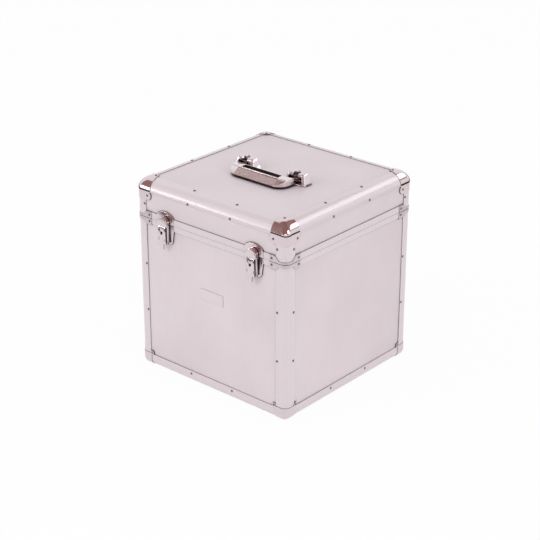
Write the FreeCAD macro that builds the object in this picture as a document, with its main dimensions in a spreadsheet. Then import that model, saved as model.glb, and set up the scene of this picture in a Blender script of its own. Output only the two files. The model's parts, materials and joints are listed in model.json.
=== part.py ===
import FreeCAD, Part
import math
import os
import re

from FreeCAD import Placement, Rotation, Vector

# A record carrying case: aluminium-edged panel box, hinged lid, two draw latches
# and a folding handle. X runs right, Y runs back, Z runs up. The origin is on the
# ground under the middle of the box. Lengths are millimetres, angles are degrees.

SIZES = {
    # the box
    "case_width": 346,
    "case_depth": 343,
    "case_height": 365,
    "lid_height": 70.5,
    "seam_gap": 0.4,
    "panel_thickness": 4,
    "lining_thickness": 3,
    "lining_gap": 0.2,
    # edge extrusions
    "profile_leg": 22.5,
    "profile_wall": 1.2,
    "profile_radius": 12,
    "profile_lip": 1.2,
    "profile_lip_reach": 18,
    # rim extrusions at the seam
    "base_rim_height": 10.3,
    "lid_rim_height": 11.7,
    "rim_wall": 1.2,
    "tongue_height": 5,
    "tongue_inset": 3.4,
    "tongue_play": 0.3,
    "tongue_headroom": 0.7,
    "mitre_cut": 0.2,
    # pressed corner covers
    "corner_cover": 1,
    "top_corner_reach": 33.5,
    "top_corner_tab_radius": 8,
    "top_wing_far": 29.5,
    "top_wing_near": 26,
    "bottom_corner_reach": 24.5,
    "bottom_tab_inset": 26,
    "bottom_tab_radius": 4,
    "bracket_reach": 36,
    "bracket_margin": 0.3,
    "bracket_dip_width": 15.6,
    "lid_bracket_dip": 7.6,
    "base_bracket_drop": 1.6,
    "base_bracket_dip": 6,
    # rivet heads
    "rivet_radius": 2.2,
    "rivet_top_radius": 1.3,
    "rivet_height": 0.8,
    "rivet_spread": 49,
    "edge_rivet_inset": 18.5,
    "lid_rivet_drop": 20.5,
    "bottom_rivet_height": 17.8,
    "post_rivet_inset": 19.5,
    "post_rivet_low": 113,
    "post_rivet_high": 204,
    "lid_post_rivet_drop": 46,
    "corner_rivet_inset": 27.5,
    "corner_rivet_drop": 29,
    "top_wing_rivet_inset": 25,
    "bracket_rivet_inset": 31,
    "lid_bracket_rivet_rise": 6,
    "base_bracket_rivet_drop": 5.5,
    # badge plate
    "badge_width": 53,
    "badge_height": 21,
    "badge_thickness": 0.8,
    "badge_center_x": 3.5,
    "badge_center_height": 184.5,
    # draw latches
    "latch_side_inset": 70,
    "latch_plate_width": 40,
    "latch_plate_thickness": 1.2,
    "latch_plate_bevel": 0.7,
    "latch_plate_gap": 0.6,
    "base_plate_drop": 36,
    "base_plate_shoulder": 11,
    "base_plate_waist": 31.5,
    "base_plate_waist_width": 34,
    "base_plate_foot_width": 26,
    "keeper_side_rise": 14.5,
    "keeper_rise": 22,
    "catch_height": 1,
    "catch_width": 2.2,
    "catch_radius": 8.6,
    "lever_width": 18,
    "lever_proud": 10.5,
    "lever_wall": 1.2,
    "lever_flange": 1,
    "lever_top_drop": 2.4,
    "lever_drop": 34.5,
    "lever_step_drop": 22,
    "lever_step": 0.6,
    "lever_back": 2.5,
    "lever_chamfer": 2.6,
    "lever_edge_radius": 0.8,
    "relief_width": 1,
    "relief_length": 6.5,
    "tab_width": 7.5,
    "tab_length": 11.5,
    "tab_end_radius": 2.4,
    "pivot_drop": 6.3,
    "pivot_proud": 7,
    "pin_radius": 1.2,
    "pin_play": 0.05,
    "cheek_outer": 7.5,
    "cheek_thickness": 1.2,
    "cheek_radius": 2,
    "cheek_foot_low": 9,
    "cheek_foot_high": 2,
    "claw_pin_drop": 32,
    "claw_pin_proud": 5.5,
    "claw_pin_overhang": 0.2,
    "claw_gap": 0.3,
    "claw_wall": 2.1,
    "claw_bottom_drop": 1.6,
    "claw_arch_rise": 3.7,
    "claw_arm_half_depth": 2.3,
    "claw_edge_radius": 1.2,
    "claw_end_radius": 2.9,
    "lock_drop": 14,
    "lock_radius": 2.4,
    "lock_recess": 0.4,
    "lock_back": 4,
    "lock_cam_length": 5,
    "lock_cam_width": 2.2,
    "lock_cam_thickness": 1.2,
    "key_slot_width": 1,
    "key_slot_depth": 1.5,
    "key_tail_length": 3.8,
    "key_tail_width": 1.6,
    # hinges at the back
    "hinge_side_inset": 73,
    "hinge_width": 44,
    "hinge_leaf_height": 30,
    "hinge_leaf_thickness": 1.2,
    "hinge_knuckle_radius": 3,
    "hinge_axis_out": 3.5,
    "hinge_pin_radius": 1.3,
    "hinge_knuckle_gap": 0.3,
    "hinge_leaf_gap": 0.3,
    # carrying handle
    "hood_length": 48,
    "hood_top_length": 34,
    "hood_front": 17,
    "hood_back": 5,
    "hood_top_front": 13.5,
    "hood_top_back": 1.5,
    "hood_height": 18.5,
    "hood_edge_radius": 3,
    "hood_mouth_width": 30,
    "hood_mouth_radius": 3,
    "hood_slot_play": 0.6,
    "hood_slot_floor": 0.5,
    "hood_slot_back": 4,
    "hood_slot_height": 13,
    "hood_roof_front": 6,
    "hood_pin_depth": 2.5,
    "hood_knob_radius": 3.4,
    "hood_knob_top_radius": 2.2,
    "hood_knob_height": 2,
    "hood_knob_back": 2.2,
    "handle_axis_front": 13.5,
    "handle_axis_rise": 6.5,
    "handle_pin_radius": 1.6,
    "arm_outer": 64,
    "arm_width": 11,
    "arm_end_radius": 4,
    "grip_front": 58,
    "grip_back": 28,
    "grip_outer_radius": 22,
    "grip_inner_radius": 2.2,
    "grip_bottom": 2.5,
    "grip_nose": 5.5,
    "grip_top": 14,
    "grip_bevel_back": 45,
    "grip_ledge": 1.6,
    "grip_ledge_drop": 0.8,
    "grip_slope_end": 18,
    "grip_edge_radius": 1,
    "insert_length": 84,
    "insert_front": 41,
    "insert_back": 29.5,
    "insert_end_radius": 2.9,
    "insert_depth": 3,
    "insert_rise": 0.4,
    "overrun": 2,
}

doc = FreeCAD.newDocument("record_case")
sheet = doc.addObject("Spreadsheet::Sheet", "Sizes")
for row, (alias, amount) in enumerate(SIZES.items(), start=1):
    sheet.set(f"A{row}", alias)
    sheet.set(f"B{row}", str(amount))
    sheet.setAlias(f"B{row}", alias)
doc.recompute()


class Named:
    """The sheet's values, read by alias."""

    def __getattr__(self, alias):
        return float(sheet.get(alias))


size = Named()
nodes = []


# helpers for parts of the document

def bound(text):
    """An expression in which every named size points at the sheet."""
    return re.sub(r"[a-z]+(?:_[a-z]+)+", lambda word: "Sizes." + word.group(), text)


def block(label, low, high):
    """A box between two corners, each a triple of expressions in named sizes."""
    box = doc.addObject("Part::Box", label)
    for side, start, end, axis in zip(("Length", "Width", "Height"), low, high, "xyz"):
        box.setExpression(side, bound(f"({end}) - ({start})"))
        box.setExpression(f"Placement.Base.{axis}", bound(start))
    return box


def rod(label, radius, length, base, turn):
    """A cylinder of bound radius, length and base point, turned from Z by a rotation."""
    cylinder = doc.addObject("Part::Cylinder", label)
    cylinder.setExpression("Radius", bound(radius))
    cylinder.setExpression("Height", bound(length))
    cylinder.Placement = Placement(Vector(), turn)
    for axis, place in zip("xyz", base):
        cylinder.setExpression(f"Placement.Base.{axis}", bound(place))
    return cylinder


def feature(label, shape):
    """A sub-part whose shape comes from Part's own functions."""
    item = doc.addObject("Part::Feature", label)
    item.Shape = shape
    item.Placement = Placement()
    return item


def group(label, items):
    """Several separate solids of one kind under one name."""
    compound = doc.addObject("Part::Compound", label)
    compound.Links = items
    return compound


def keep(item):
    """Count an object among the sub-parts that are written out."""
    nodes.append(item)
    return item


# helpers for shapes

def prism(corners, sweep):
    """A straight-sided outline, given as points, swept along a vector."""
    return Part.Face(Part.makePolygon(corners + corners[:1])).extrude(sweep)


def box_between(low, high):
    """A box between two corner points."""
    span = high - low
    return Part.makeBox(span.x, span.y, span.z, low)


def union(shapes):
    """One solid from touching ones, with its seams removed."""
    return shapes[0].multiFuse(shapes[1:]).removeSplitter()


def mirror_x(shape):
    return shape.mirror(Vector(0, 0, 0), Vector(1, 0, 0))


def mirror_y(shape):
    return shape.mirror(Vector(0, 0, 0), Vector(0, 1, 0))


def is_upright(edge):
    start, end = (vertex.Point for vertex in edge.Vertexes)
    return abs(start.z - end.z) > abs(start.x - end.x) + abs(start.y - end.y)


def plan_prism(inset, bottom, top):
    """The plan of the box with its rounded corners, inset all round, between two heights."""
    half = Vector(size.case_width / 2 - inset, size.case_depth / 2 - inset, 0)
    solid = box_between(Vector(-half.x, -half.y, bottom), Vector(half.x, half.y, top))
    return solid.makeFillet(size.profile_radius - inset, [edge for edge in solid.Edges if is_upright(edge)])


def plan_ring(outer_inset, inner_inset, bottom, top):
    """A closed band that follows the plan between two insets."""
    cut = plan_prism(inner_inset, bottom - size.overrun, top + size.overrun)
    return plan_prism(outer_inset, bottom, top).cut(cut)


def rounded_block(growth):
    """The whole box with every edge rounded, grown all round."""
    half = Vector(size.case_width / 2 + growth, size.case_depth / 2 + growth, 0)
    low = Vector(-half.x, -half.y, size.corner_cover - growth)
    solid = box_between(low, Vector(half.x, half.y, size.case_height + growth))
    return solid.makeFillet(size.profile_radius + growth, solid.Edges)


case_block = rounded_block(0)
cover_shell = rounded_block(size.corner_cover).cut(case_block)


# panels of the base and the lid

WALL_OUT_X = "case_width / 2 - profile_wall"
WALL_IN_X = "case_width / 2 - profile_wall - panel_thickness"
WALL_OUT_Y = "case_depth / 2 - profile_wall"
WALL_IN_Y = "case_depth / 2 - profile_wall - panel_thickness"
SPAN_X = "case_width / 2 - profile_radius"
SPAN_Y = "case_depth / 2 - profile_radius"
LIP_X = "case_width / 2 - profile_lip_reach - lining_gap"
LIP_Y = "case_depth / 2 - profile_lip_reach - lining_gap"
LINED_X = WALL_IN_X + " - lining_thickness"
LINED_Y = WALL_IN_Y + " - lining_thickness"
SEAM = "(case_height - lid_height)"
BASE_BOTTOM = "corner_cover + profile_radius"
BASE_TOP = SEAM + " - seam_gap / 2 - rim_wall"
LID_BOTTOM = SEAM + " + tongue_height + tongue_headroom + rim_wall"
LID_TOP = "case_height - profile_radius"


def four_panels(prefix, bottom, top, out_x, in_x, span_x, out_y, in_y, span_y):
    """Front, back, left and right boards between two heights."""
    return [
        block(prefix[0], (f"-({span_x})", f"-({out_y})", bottom), (span_x, f"-({in_y})", top)),
        block(prefix[1], (f"-({span_x})", in_y, bottom), (span_x, out_y, top)),
        block(prefix[2], (f"-({out_x})", f"-({span_y})", bottom), (f"-({in_x})", span_y, top)),
        block(prefix[3], (in_x, f"-({span_y})", bottom), (out_x, span_y, top)),
    ]


SIDES = ("front", "back", "left", "right")

for board in four_panels(
    [f"base_{side}_wall" for side in SIDES], BASE_BOTTOM, BASE_TOP,
    WALL_OUT_X, WALL_IN_X, SPAN_X, WALL_OUT_Y, WALL_IN_Y, SPAN_Y,
):
    keep(board)
for board in four_panels(
    [f"lid_{side}_wall" for side in SIDES], LID_BOTTOM, LID_TOP,
    WALL_OUT_X, WALL_IN_X, SPAN_X, WALL_OUT_Y, WALL_IN_Y, SPAN_Y,
):
    keep(board)

keep(block(
    "base_floor_panel",
    (f"-({SPAN_X})", f"-({SPAN_Y})", "corner_cover + profile_wall"),
    (SPAN_X, SPAN_Y, "corner_cover + profile_wall + panel_thickness"),
))
keep(block(
    "lid_top_panel",
    (f"-({SPAN_X})", f"-({SPAN_Y})", "case_height - profile_wall - panel_thickness"),
    (SPAN_X, SPAN_Y, "case_height - profile_wall"),
))

# lining boards glued between the lips of the edge extrusions

base_lining = four_panels(
    [f"base_lining_{side}" for side in SIDES],
    "corner_cover + profile_lip_reach + lining_gap", SEAM + " - base_rim_height - lining_gap",
    WALL_IN_X, LINED_X, LIP_X, WALL_IN_Y, LINED_Y, LIP_Y,
)
base_lining.append(block(
    "base_lining_floor",
    (f"-({LIP_X})", f"-({LIP_Y})", "corner_cover + profile_wall + panel_thickness"),
    (LIP_X, LIP_Y, "corner_cover + profile_wall + panel_thickness + lining_thickness"),
))
keep(group("base_lining", base_lining))

lid_lining = four_panels(
    [f"lid_lining_{side}" for side in SIDES],
    SEAM + " + lid_rim_height + lining_gap + seam_gap",
    "case_height - profile_lip_reach - lining_gap",
    WALL_IN_X, LINED_X, LIP_X, WALL_IN_Y, LINED_Y, LIP_Y,
)
lid_lining.append(block(
    "lid_lining_top",
    (f"-({LIP_X})", f"-({LIP_Y})", "case_height - profile_wall - panel_thickness - lining_thickness"),
    (LIP_X, LIP_Y, "case_height - profile_wall - panel_thickness"),
))
keep(group("lid_lining", lid_lining))


# edge extrusions: a quarter-round angle with a slot for each panel

def profile_section():
    """Corner points of the extrusion's section, measured from the box's outer edge."""
    slot = size.profile_wall + size.panel_thickness
    lip = slot + size.profile_lip
    one_leg = [
        (size.profile_leg, 0),
        (size.profile_leg, size.profile_wall),
        (size.profile_radius, size.profile_wall),
        (size.profile_radius, slot),
        (size.profile_lip_reach, slot),
        (size.profile_lip_reach, lip),
    ]
    other_leg = [(b, a) for a, b in reversed(one_leg)]
    return [Vector(a, b, 0) for a, b in [(0, 0)] + one_leg + [(lip, lip)] + other_leg]


def edge_profile(corner, leg_a, leg_b, length, near_mitre, far_mitre):
    """One extrusion from a corner along an edge, with 45 degree mitres where it meets two others."""
    bar = prism(profile_section(), Vector(0, 0, length))
    reach = size.profile_leg + size.overrun
    for start, inward in ((0, 1), (length, -1)):
        if not (near_mitre if start == 0 else far_mitre):
            continue
        wedge_a = prism(
            [Vector(0, -size.overrun, start), Vector(reach, -size.overrun, start),
             Vector(reach, -size.overrun, start + inward * reach)],
            Vector(0, reach + size.overrun, 0),
        )
        wedge_b = prism(
            [Vector(-size.overrun, 0, start), Vector(-size.overrun, reach, start),
             Vector(-size.overrun, reach, start + inward * reach)],
            Vector(reach + size.overrun, 0, 0),
        )
        bar = bar.cut(wedge_a).cut(wedge_b)
    bar.Placement = Placement(corner, Rotation(leg_a, leg_b, leg_a.cross(leg_b), "ZXY"))
    return bar.common(case_block)


half_width = size.case_width / 2
half_depth = size.case_depth / 2
floor_height = size.corner_cover
X, Y, Z = Vector(1, 0, 0), Vector(0, 1, 0), Vector(0, 0, 1)
CORNERS = {
    "front_left": (-1, -1),
    "front_right": (1, -1),
    "back_left": (-1, 1),
    "back_right": (1, 1),
}


def upright_profile(side_x, side_y, bottom, top, near_mitre, far_mitre):
    """A vertical extrusion on one corner of the plan."""
    to_x, to_y = X * -side_x, Y * -side_y
    legs = (to_x, to_y) if to_x.cross(to_y).z > 0 else (to_y, to_x)
    corner = Vector(side_x * half_width, side_y * half_depth, bottom)
    return edge_profile(corner, *legs, top - bottom, near_mitre, far_mitre)


seam = size.case_height - size.lid_height
base_seam = seam - size.seam_gap / 2
lid_seam = seam + size.seam_gap / 2
rim_bottom = base_seam - size.base_rim_height
rim_top = lid_seam + size.lid_rim_height

for name, (side_x, side_y) in CORNERS.items():
    keep(feature(
        f"base_post_{name}",
        upright_profile(side_x, side_y, floor_height, rim_bottom, True, False),
    ))
keep(feature("lid_posts", Part.makeCompound([
    upright_profile(side_x, side_y, rim_top, size.case_height, False, True)
    for side_x, side_y in CORNERS.values()
])))


def level_profile(side, height, down):
    """A horizontal extrusion along one side of the plan, under or over the box."""
    inward_z = Z * (-1 if down else 1)
    if side in ("front", "back"):
        inward = Y if side == "front" else -Y
        corner = Vector(-half_width, -half_depth if side == "front" else half_depth, height)
        run, length = X, size.case_width
    else:
        inward = X if side == "left" else -X
        corner = Vector(-half_width if side == "left" else half_width, -half_depth, height)
        run, length = Y, size.case_depth
    legs = (inward, inward_z) if inward.cross(inward_z).dot(run) > 0 else (inward_z, inward)
    return edge_profile(corner, *legs, length, True, True)


for side in SIDES:
    keep(feature(f"bottom_edge_{side}", level_profile(side, floor_height, False)))
    keep(feature(f"top_edge_{side}", level_profile(side, size.case_height, True)))


# rim extrusions: a tongue on the base inside a rebate on the lid

def mitred(ring):
    """The four lengths of a rim, parted at the corners."""
    for direction in (1, -1):
        saw = Part.makeBox(size.mitre_cut, size.case_width * 2, size.case_height * 2)
        saw.translate(Vector(-size.mitre_cut / 2, -size.case_width, 0))
        slant = math.degrees(math.atan2(size.case_width, size.case_depth))
        saw.rotate(Vector(0, 0, 0), Z, direction * slant)
        ring = ring.cut(saw)
    return ring


lip_in = size.profile_wall + size.panel_thickness
lip_out = lip_in + size.profile_lip
tongue_back = size.tongue_inset + size.rim_wall
rebate_front = size.tongue_inset - size.tongue_play
shelf_top = seam + size.tongue_height + size.tongue_headroom + size.rim_wall

keep(feature("base_rim", mitred(union([
    plan_ring(0, size.profile_wall, rim_bottom, base_seam),
    plan_ring(0, lip_out, base_seam - size.rim_wall, base_seam),
    plan_ring(size.tongue_inset, tongue_back, base_seam - size.rim_wall, base_seam + size.tongue_height),
    plan_ring(lip_in, lip_out, rim_bottom, base_seam),
]))))
keep(feature("lid_rim", mitred(union([
    plan_ring(0, size.profile_wall, lid_seam, rim_top),
    plan_ring(0, rebate_front, lid_seam, lid_seam + size.rim_wall),
    plan_ring(rebate_front - size.rim_wall, rebate_front, lid_seam, shelf_top),
    plan_ring(rebate_front - size.rim_wall, lip_out, shelf_top - size.rim_wall, shelf_top),
    plan_ring(lip_in, lip_out, shelf_top - size.rim_wall, rim_top),
]))))


# pressed corner covers, made for the front right corner and mirrored

def to_corner(shape, side_x, side_y):
    """A copy of the front right piece on another corner."""
    if side_x < 0:
        shape = mirror_x(shape)
    if side_y > 0:
        shape = mirror_y(shape)
    return shape


def front_patch(points, base_z, rise):
    """A prism over the front face: points are insets from the right edge and from a level."""
    depth = size.profile_radius + size.corner_cover
    corners = [Vector(half_width - a, -half_depth - size.overrun, base_z + rise * c) for a, c in points]
    return prism(corners, Vector(0, depth + size.overrun, 0))


def side_patch(points, base_z, rise):
    """The same over the right face: points are insets from the front edge and from a level."""
    depth = size.profile_radius + size.corner_cover
    corners = [Vector(half_width + size.overrun, -half_depth + a, base_z + rise * c) for a, c in points]
    return prism(corners, Vector(-depth - size.overrun, 0, 0))


def plan_patch(points, base_z, rise):
    """The same over the top or the underside."""
    depth = size.profile_radius + size.corner_cover
    corners = [Vector(half_width - a, -half_depth + b, base_z - rise * size.overrun) for a, b in points]
    return prism(corners, Vector(0, 0, rise * (depth + size.overrun)))


def top_corner():
    """Domed corner cover of the lid with a riveted wing on each of three faces."""
    past, reach, round_end = -size.overrun, size.top_corner_reach, size.profile_radius
    inset, drop, radius = size.corner_rivet_inset, size.corner_rivet_drop, size.top_corner_tab_radius
    wing = [(past, past), (reach, past), (reach, drop), (inset, drop + radius), (past, drop + radius)]
    far, near = size.top_wing_far, size.top_wing_near
    plan = [
        (past, past), (reach, past), (reach, round_end), (far, near), (near, far),
        (round_end, reach), (past, reach),
    ]
    depth = size.profile_radius + size.corner_cover + size.overrun
    low = size.case_height - drop
    tabs = [
        Part.makeCylinder(radius, depth, Vector(half_width - inset, -half_depth - size.overrun, low), Y),
        Part.makeCylinder(radius, depth, Vector(half_width + size.overrun, -half_depth + inset, low), -X),
    ]
    area = union([
        front_patch(wing, size.case_height, -1),
        side_patch(wing, size.case_height, -1),
        plan_patch(plan, size.case_height, -1),
    ] + tabs)
    return cover_shell.common(area)


def bottom_corner():
    """Rounded corner cover of the base with a small round rivet tab on each face."""
    past, reach = -size.overrun, size.bottom_corner_reach
    square = [(past, past), (reach, past), (reach, reach), (past, reach)]
    tab, depth = size.bottom_tab_inset, size.profile_radius + size.corner_cover + size.overrun
    radius = size.bottom_tab_radius
    on_front = Vector(half_width - tab, -half_depth - size.overrun, floor_height + tab)
    on_right = Vector(half_width + size.overrun, -half_depth + tab, floor_height + tab)
    below = Vector(half_width - tab, -half_depth + tab, floor_height - size.overrun)
    tabs = [
        Part.makeCylinder(radius, depth, place, inward)
        for place, inward in ((on_front, Y), (on_right, -X), (below, Z))
    ]
    area = union([
        front_patch(square, floor_height, 1),
        side_patch(square, floor_height, 1),
        plan_patch(square, floor_height, 1),
    ] + tabs)
    return cover_shell.common(area)


def rim_bracket(points, level):
    """Band round a corner at the seam, cut to the same outline on both faces."""
    low = min(c for a, c in points) + level
    high = max(c for a, c in points) + level
    band = plan_ring(-size.corner_cover, 0, low, high)
    return band.common(union([front_patch(points, level, 1), side_patch(points, level, 1)]))


def lid_bracket():
    """Its top edge dips round the corner between two wings."""
    past, reach = -size.overrun, size.bracket_reach
    low, high = size.bracket_margin, size.lid_rim_height
    dip, wide = size.lid_bracket_dip, size.bracket_dip_width
    return rim_bracket(
        [(past, low), (reach, low), (reach, high), (wide + dip, high), (wide, high - dip), (past, high - dip)],
        lid_seam,
    )


def base_bracket():
    """The same upside down: its lower edge rises round the corner between two wings."""
    past, reach = -size.overrun, size.bracket_reach
    low, high = -size.base_rim_height - size.base_bracket_drop, -size.bracket_margin
    dip, wide = size.base_bracket_dip, size.bracket_dip_width
    return rim_bracket(
        [(past, low + dip), (wide, low + dip), (wide + dip, low), (reach, low), (reach, high), (past, high)],
        base_seam,
    )


for name, (side_x, side_y) in CORNERS.items():
    keep(feature(f"lid_corner_{name}", to_corner(top_corner(), side_x, side_y)))
for label, piece in (
    ("bottom_corners", bottom_corner()),
    ("lid_rim_brackets", lid_bracket()),
    ("base_rim_brackets", base_bracket()),
):
    keep(feature(label, Part.makeCompound([to_corner(piece, *sides) for sides in CORNERS.values()])))


# rivet heads

def head(place, outward):
    """One rivet head standing on a face."""
    return Part.makeCone(size.rivet_radius, size.rivet_top_radius, size.rivet_height, place, outward)


def on_sides(across, height, proud):
    """Heads on all four upright faces at a distance either side of the middle."""
    heads = []
    for sign in (-1, 1):
        for face in (-1, 1):
            heads.append(head(Vector(sign * across[0], face * (half_depth + proud), height), Y * face))
            heads.append(head(Vector(face * (half_width + proud), sign * across[1], height), X * face))
    return heads


def from_edge(inset):
    """Distances from the middle of each face to a place near its edge."""
    return (half_width - inset, half_depth - inset)


def on_top(places, proud):
    """Heads on the lid's top at mirrored places."""
    height = size.case_height + proud
    return [head(Vector(sx * x, sy * y, height), Z) for x, y in places for sx in (-1, 1) for sy in (-1, 1)]


middle = (size.rivet_spread, size.rivet_spread)
post = from_edge(size.post_rivet_inset)
base_heads = (
    on_sides(middle, size.bottom_rivet_height, 0)
    + on_sides(post, size.post_rivet_low, 0)
    + on_sides(post, size.post_rivet_high, 0)
    + on_sides(from_edge(size.bottom_tab_inset), floor_height + size.bottom_tab_inset, size.corner_cover)
    + on_sides(from_edge(size.bracket_rivet_inset), base_seam - size.base_bracket_rivet_drop, size.corner_cover)
)
lid_heads = (
    on_sides(middle, size.case_height - size.lid_rivet_drop, 0)
    + on_sides(post, size.case_height - size.lid_post_rivet_drop, 0)
    + on_sides(from_edge(size.corner_rivet_inset), size.case_height - size.corner_rivet_drop, size.corner_cover)
    + on_sides(from_edge(size.bracket_rivet_inset), lid_seam + size.lid_bracket_rivet_rise, size.corner_cover)
    + on_top([
        (size.rivet_spread, half_depth - size.edge_rivet_inset),
        (half_width - size.edge_rivet_inset, size.rivet_spread),
    ], 0)
    + on_top([from_edge(size.top_wing_rivet_inset)], size.corner_cover)
)
keep(feature("base_rivets", Part.makeCompound(base_heads)))
keep(feature("lid_rivets", Part.makeCompound(lid_heads)))


# badge plate, left blank

keep(block(
    "badge_plate",
    ("badge_center_x - badge_width / 2", "-case_depth / 2 + profile_wall - badge_thickness",
     "badge_center_height - badge_height / 2"),
    ("badge_center_x + badge_width / 2", "-case_depth / 2 + profile_wall",
     "badge_center_height + badge_height / 2"),
))


# draw latches, modelled on the right and mirrored

latch_x = half_width - size.latch_side_inset
pivot = Vector(latch_x, -half_depth - size.pivot_proud, seam - size.pivot_drop)
claw_pin = Vector(latch_x, -half_depth - size.claw_pin_proud, seam - size.claw_pin_drop)
lock = Vector(latch_x, -half_depth, seam - size.lock_drop)
lever_half = size.lever_width / 2


def at_latch(across, proud, height):
    """A point by its distance from the latch's middle, from the case's face and from the seam."""
    return Vector(latch_x + across, -half_depth - proud, seam + height)


def face_plate(outline, back, front):
    """A plate parallel to the front: outline points are across and above the seam."""
    corners = [at_latch(across, back, height) for across, height in outline]
    return prism(corners, Vector(0, back - front, 0))


def side_plate(outline, inner, outer):
    """A plate square to the front: outline points are proud of the face and above the seam."""
    corners = [at_latch(inner, proud, height) for proud, height in outline]
    return prism(corners, Vector(outer - inner, 0, 0))


def both_sides(shape):
    """A piece and its twin on the latch's other flank."""
    twin = shape.mirror(Vector(latch_x, 0, 0), X)
    return [shape, twin]


def arch(radius, bottom, rise, back, front):
    """A plate with straight sides and a half-round top."""
    top = rise + radius
    disc = Part.makeCylinder(radius, front - back, at_latch(0, back, rise), -Y)
    crown = face_plate([(-radius, rise), (radius, rise), (radius, top), (-radius, top)], back, front)
    legs = face_plate([(-radius, bottom), (radius, bottom), (radius, rise), (-radius, rise)], back, front)
    return union([disc.common(crown), legs])


def bevelled(plate, front):
    """A plate whose outline is bevelled in front."""
    level = -half_depth - front
    rim = [edge for edge in plate.Edges
           if abs(edge.BoundBox.YMin - level) + abs(edge.BoundBox.YMax - level) < size.pin_play]
    return plate.makeChamfer(size.latch_plate_bevel, rim)


def hole(centre, radius):
    """A cutting rod across the latch."""
    span = size.latch_plate_width
    return Part.makeCylinder(radius, span, centre - X * (span / 2), X)


def latch_base_plate():
    """Plate riveted to the base, joggled over the rim, with two ears for the pivot."""
    half, waist = size.latch_plate_width / 2, size.base_plate_waist_width / 2
    foot, top = size.base_plate_foot_width / 2, -size.latch_plate_gap / 2
    thick = size.latch_plate_thickness
    outline = [
        (-half, top), (half, top), (half, -size.base_plate_shoulder), (waist, -size.base_plate_waist),
        (foot, -size.base_plate_drop), (-foot, -size.base_plate_drop), (-waist, -size.base_plate_waist),
        (-half, -size.base_plate_shoulder),
    ]
    plate = bevelled(face_plate(outline, -size.profile_wall, thick), thick)
    rim = box_between(
        at_latch(-half - size.overrun, 0, rim_bottom - seam),
        at_latch(half + size.overrun, -size.profile_wall - size.overrun, size.overrun),
    )
    plate = plate.cut(rim)
    drop, out = -size.pivot_drop, size.pivot_proud
    ear = side_plate(
        [(thick, drop - size.cheek_foot_low), (thick, drop - size.cheek_foot_high),
         (out, drop + size.cheek_radius), (out + size.cheek_radius, drop)],
        size.cheek_outer - size.cheek_thickness, size.cheek_outer,
    )
    eye = Part.makeCylinder(
        size.cheek_radius, size.cheek_thickness,
        pivot + X * (size.cheek_outer - size.cheek_thickness), X,
    )
    ears = both_sides(union([ear, eye]))
    return union([plate] + ears).cut(hole(pivot, size.pin_radius + size.pin_play))


def keeper_plate():
    """Plate riveted to the lid, with an arched top and a raised catch."""
    half, bottom = size.latch_plate_width / 2, size.latch_plate_gap / 2
    thick = size.latch_plate_thickness
    sides, top = size.keeper_side_rise, size.keeper_rise
    back = -size.profile_wall
    crown = Part.Arc(at_latch(half, back, sides), at_latch(0, back, top), at_latch(-half, back, sides))
    outline = Part.Wire([
        Part.makeLine(at_latch(-half, back, sides), at_latch(-half, back, bottom)),
        Part.makeLine(at_latch(-half, back, bottom), at_latch(half, back, bottom)),
        Part.makeLine(at_latch(half, back, bottom), at_latch(half, back, sides)),
        crown.toShape(),
    ])
    plate = bevelled(Part.Face(outline).extrude(Vector(0, back - thick, 0)), thick)
    rim = box_between(
        at_latch(-half - size.overrun, 0, -size.overrun),
        at_latch(half + size.overrun, -size.profile_wall - size.overrun, rim_top - seam),
    )
    catch_top = thick + size.catch_height
    rib = arch(size.catch_radius, bottom, size.claw_arch_rise, thick, catch_top).cut(
        arch(size.catch_radius - size.catch_width, bottom - size.overrun, size.claw_arch_rise, thick - size.overrun,
             catch_top + size.overrun))
    return union([plate.cut(rim), rib])


def folded(plate):
    """A front plate whose two upright bends are rounded."""
    level = plate.BoundBox.YMin
    bends = [edge for edge in plate.Edges if is_upright(edge) and edge.BoundBox.YMax < level + size.pin_play]
    return plate.makeFillet(size.lever_edge_radius, bends)


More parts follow.
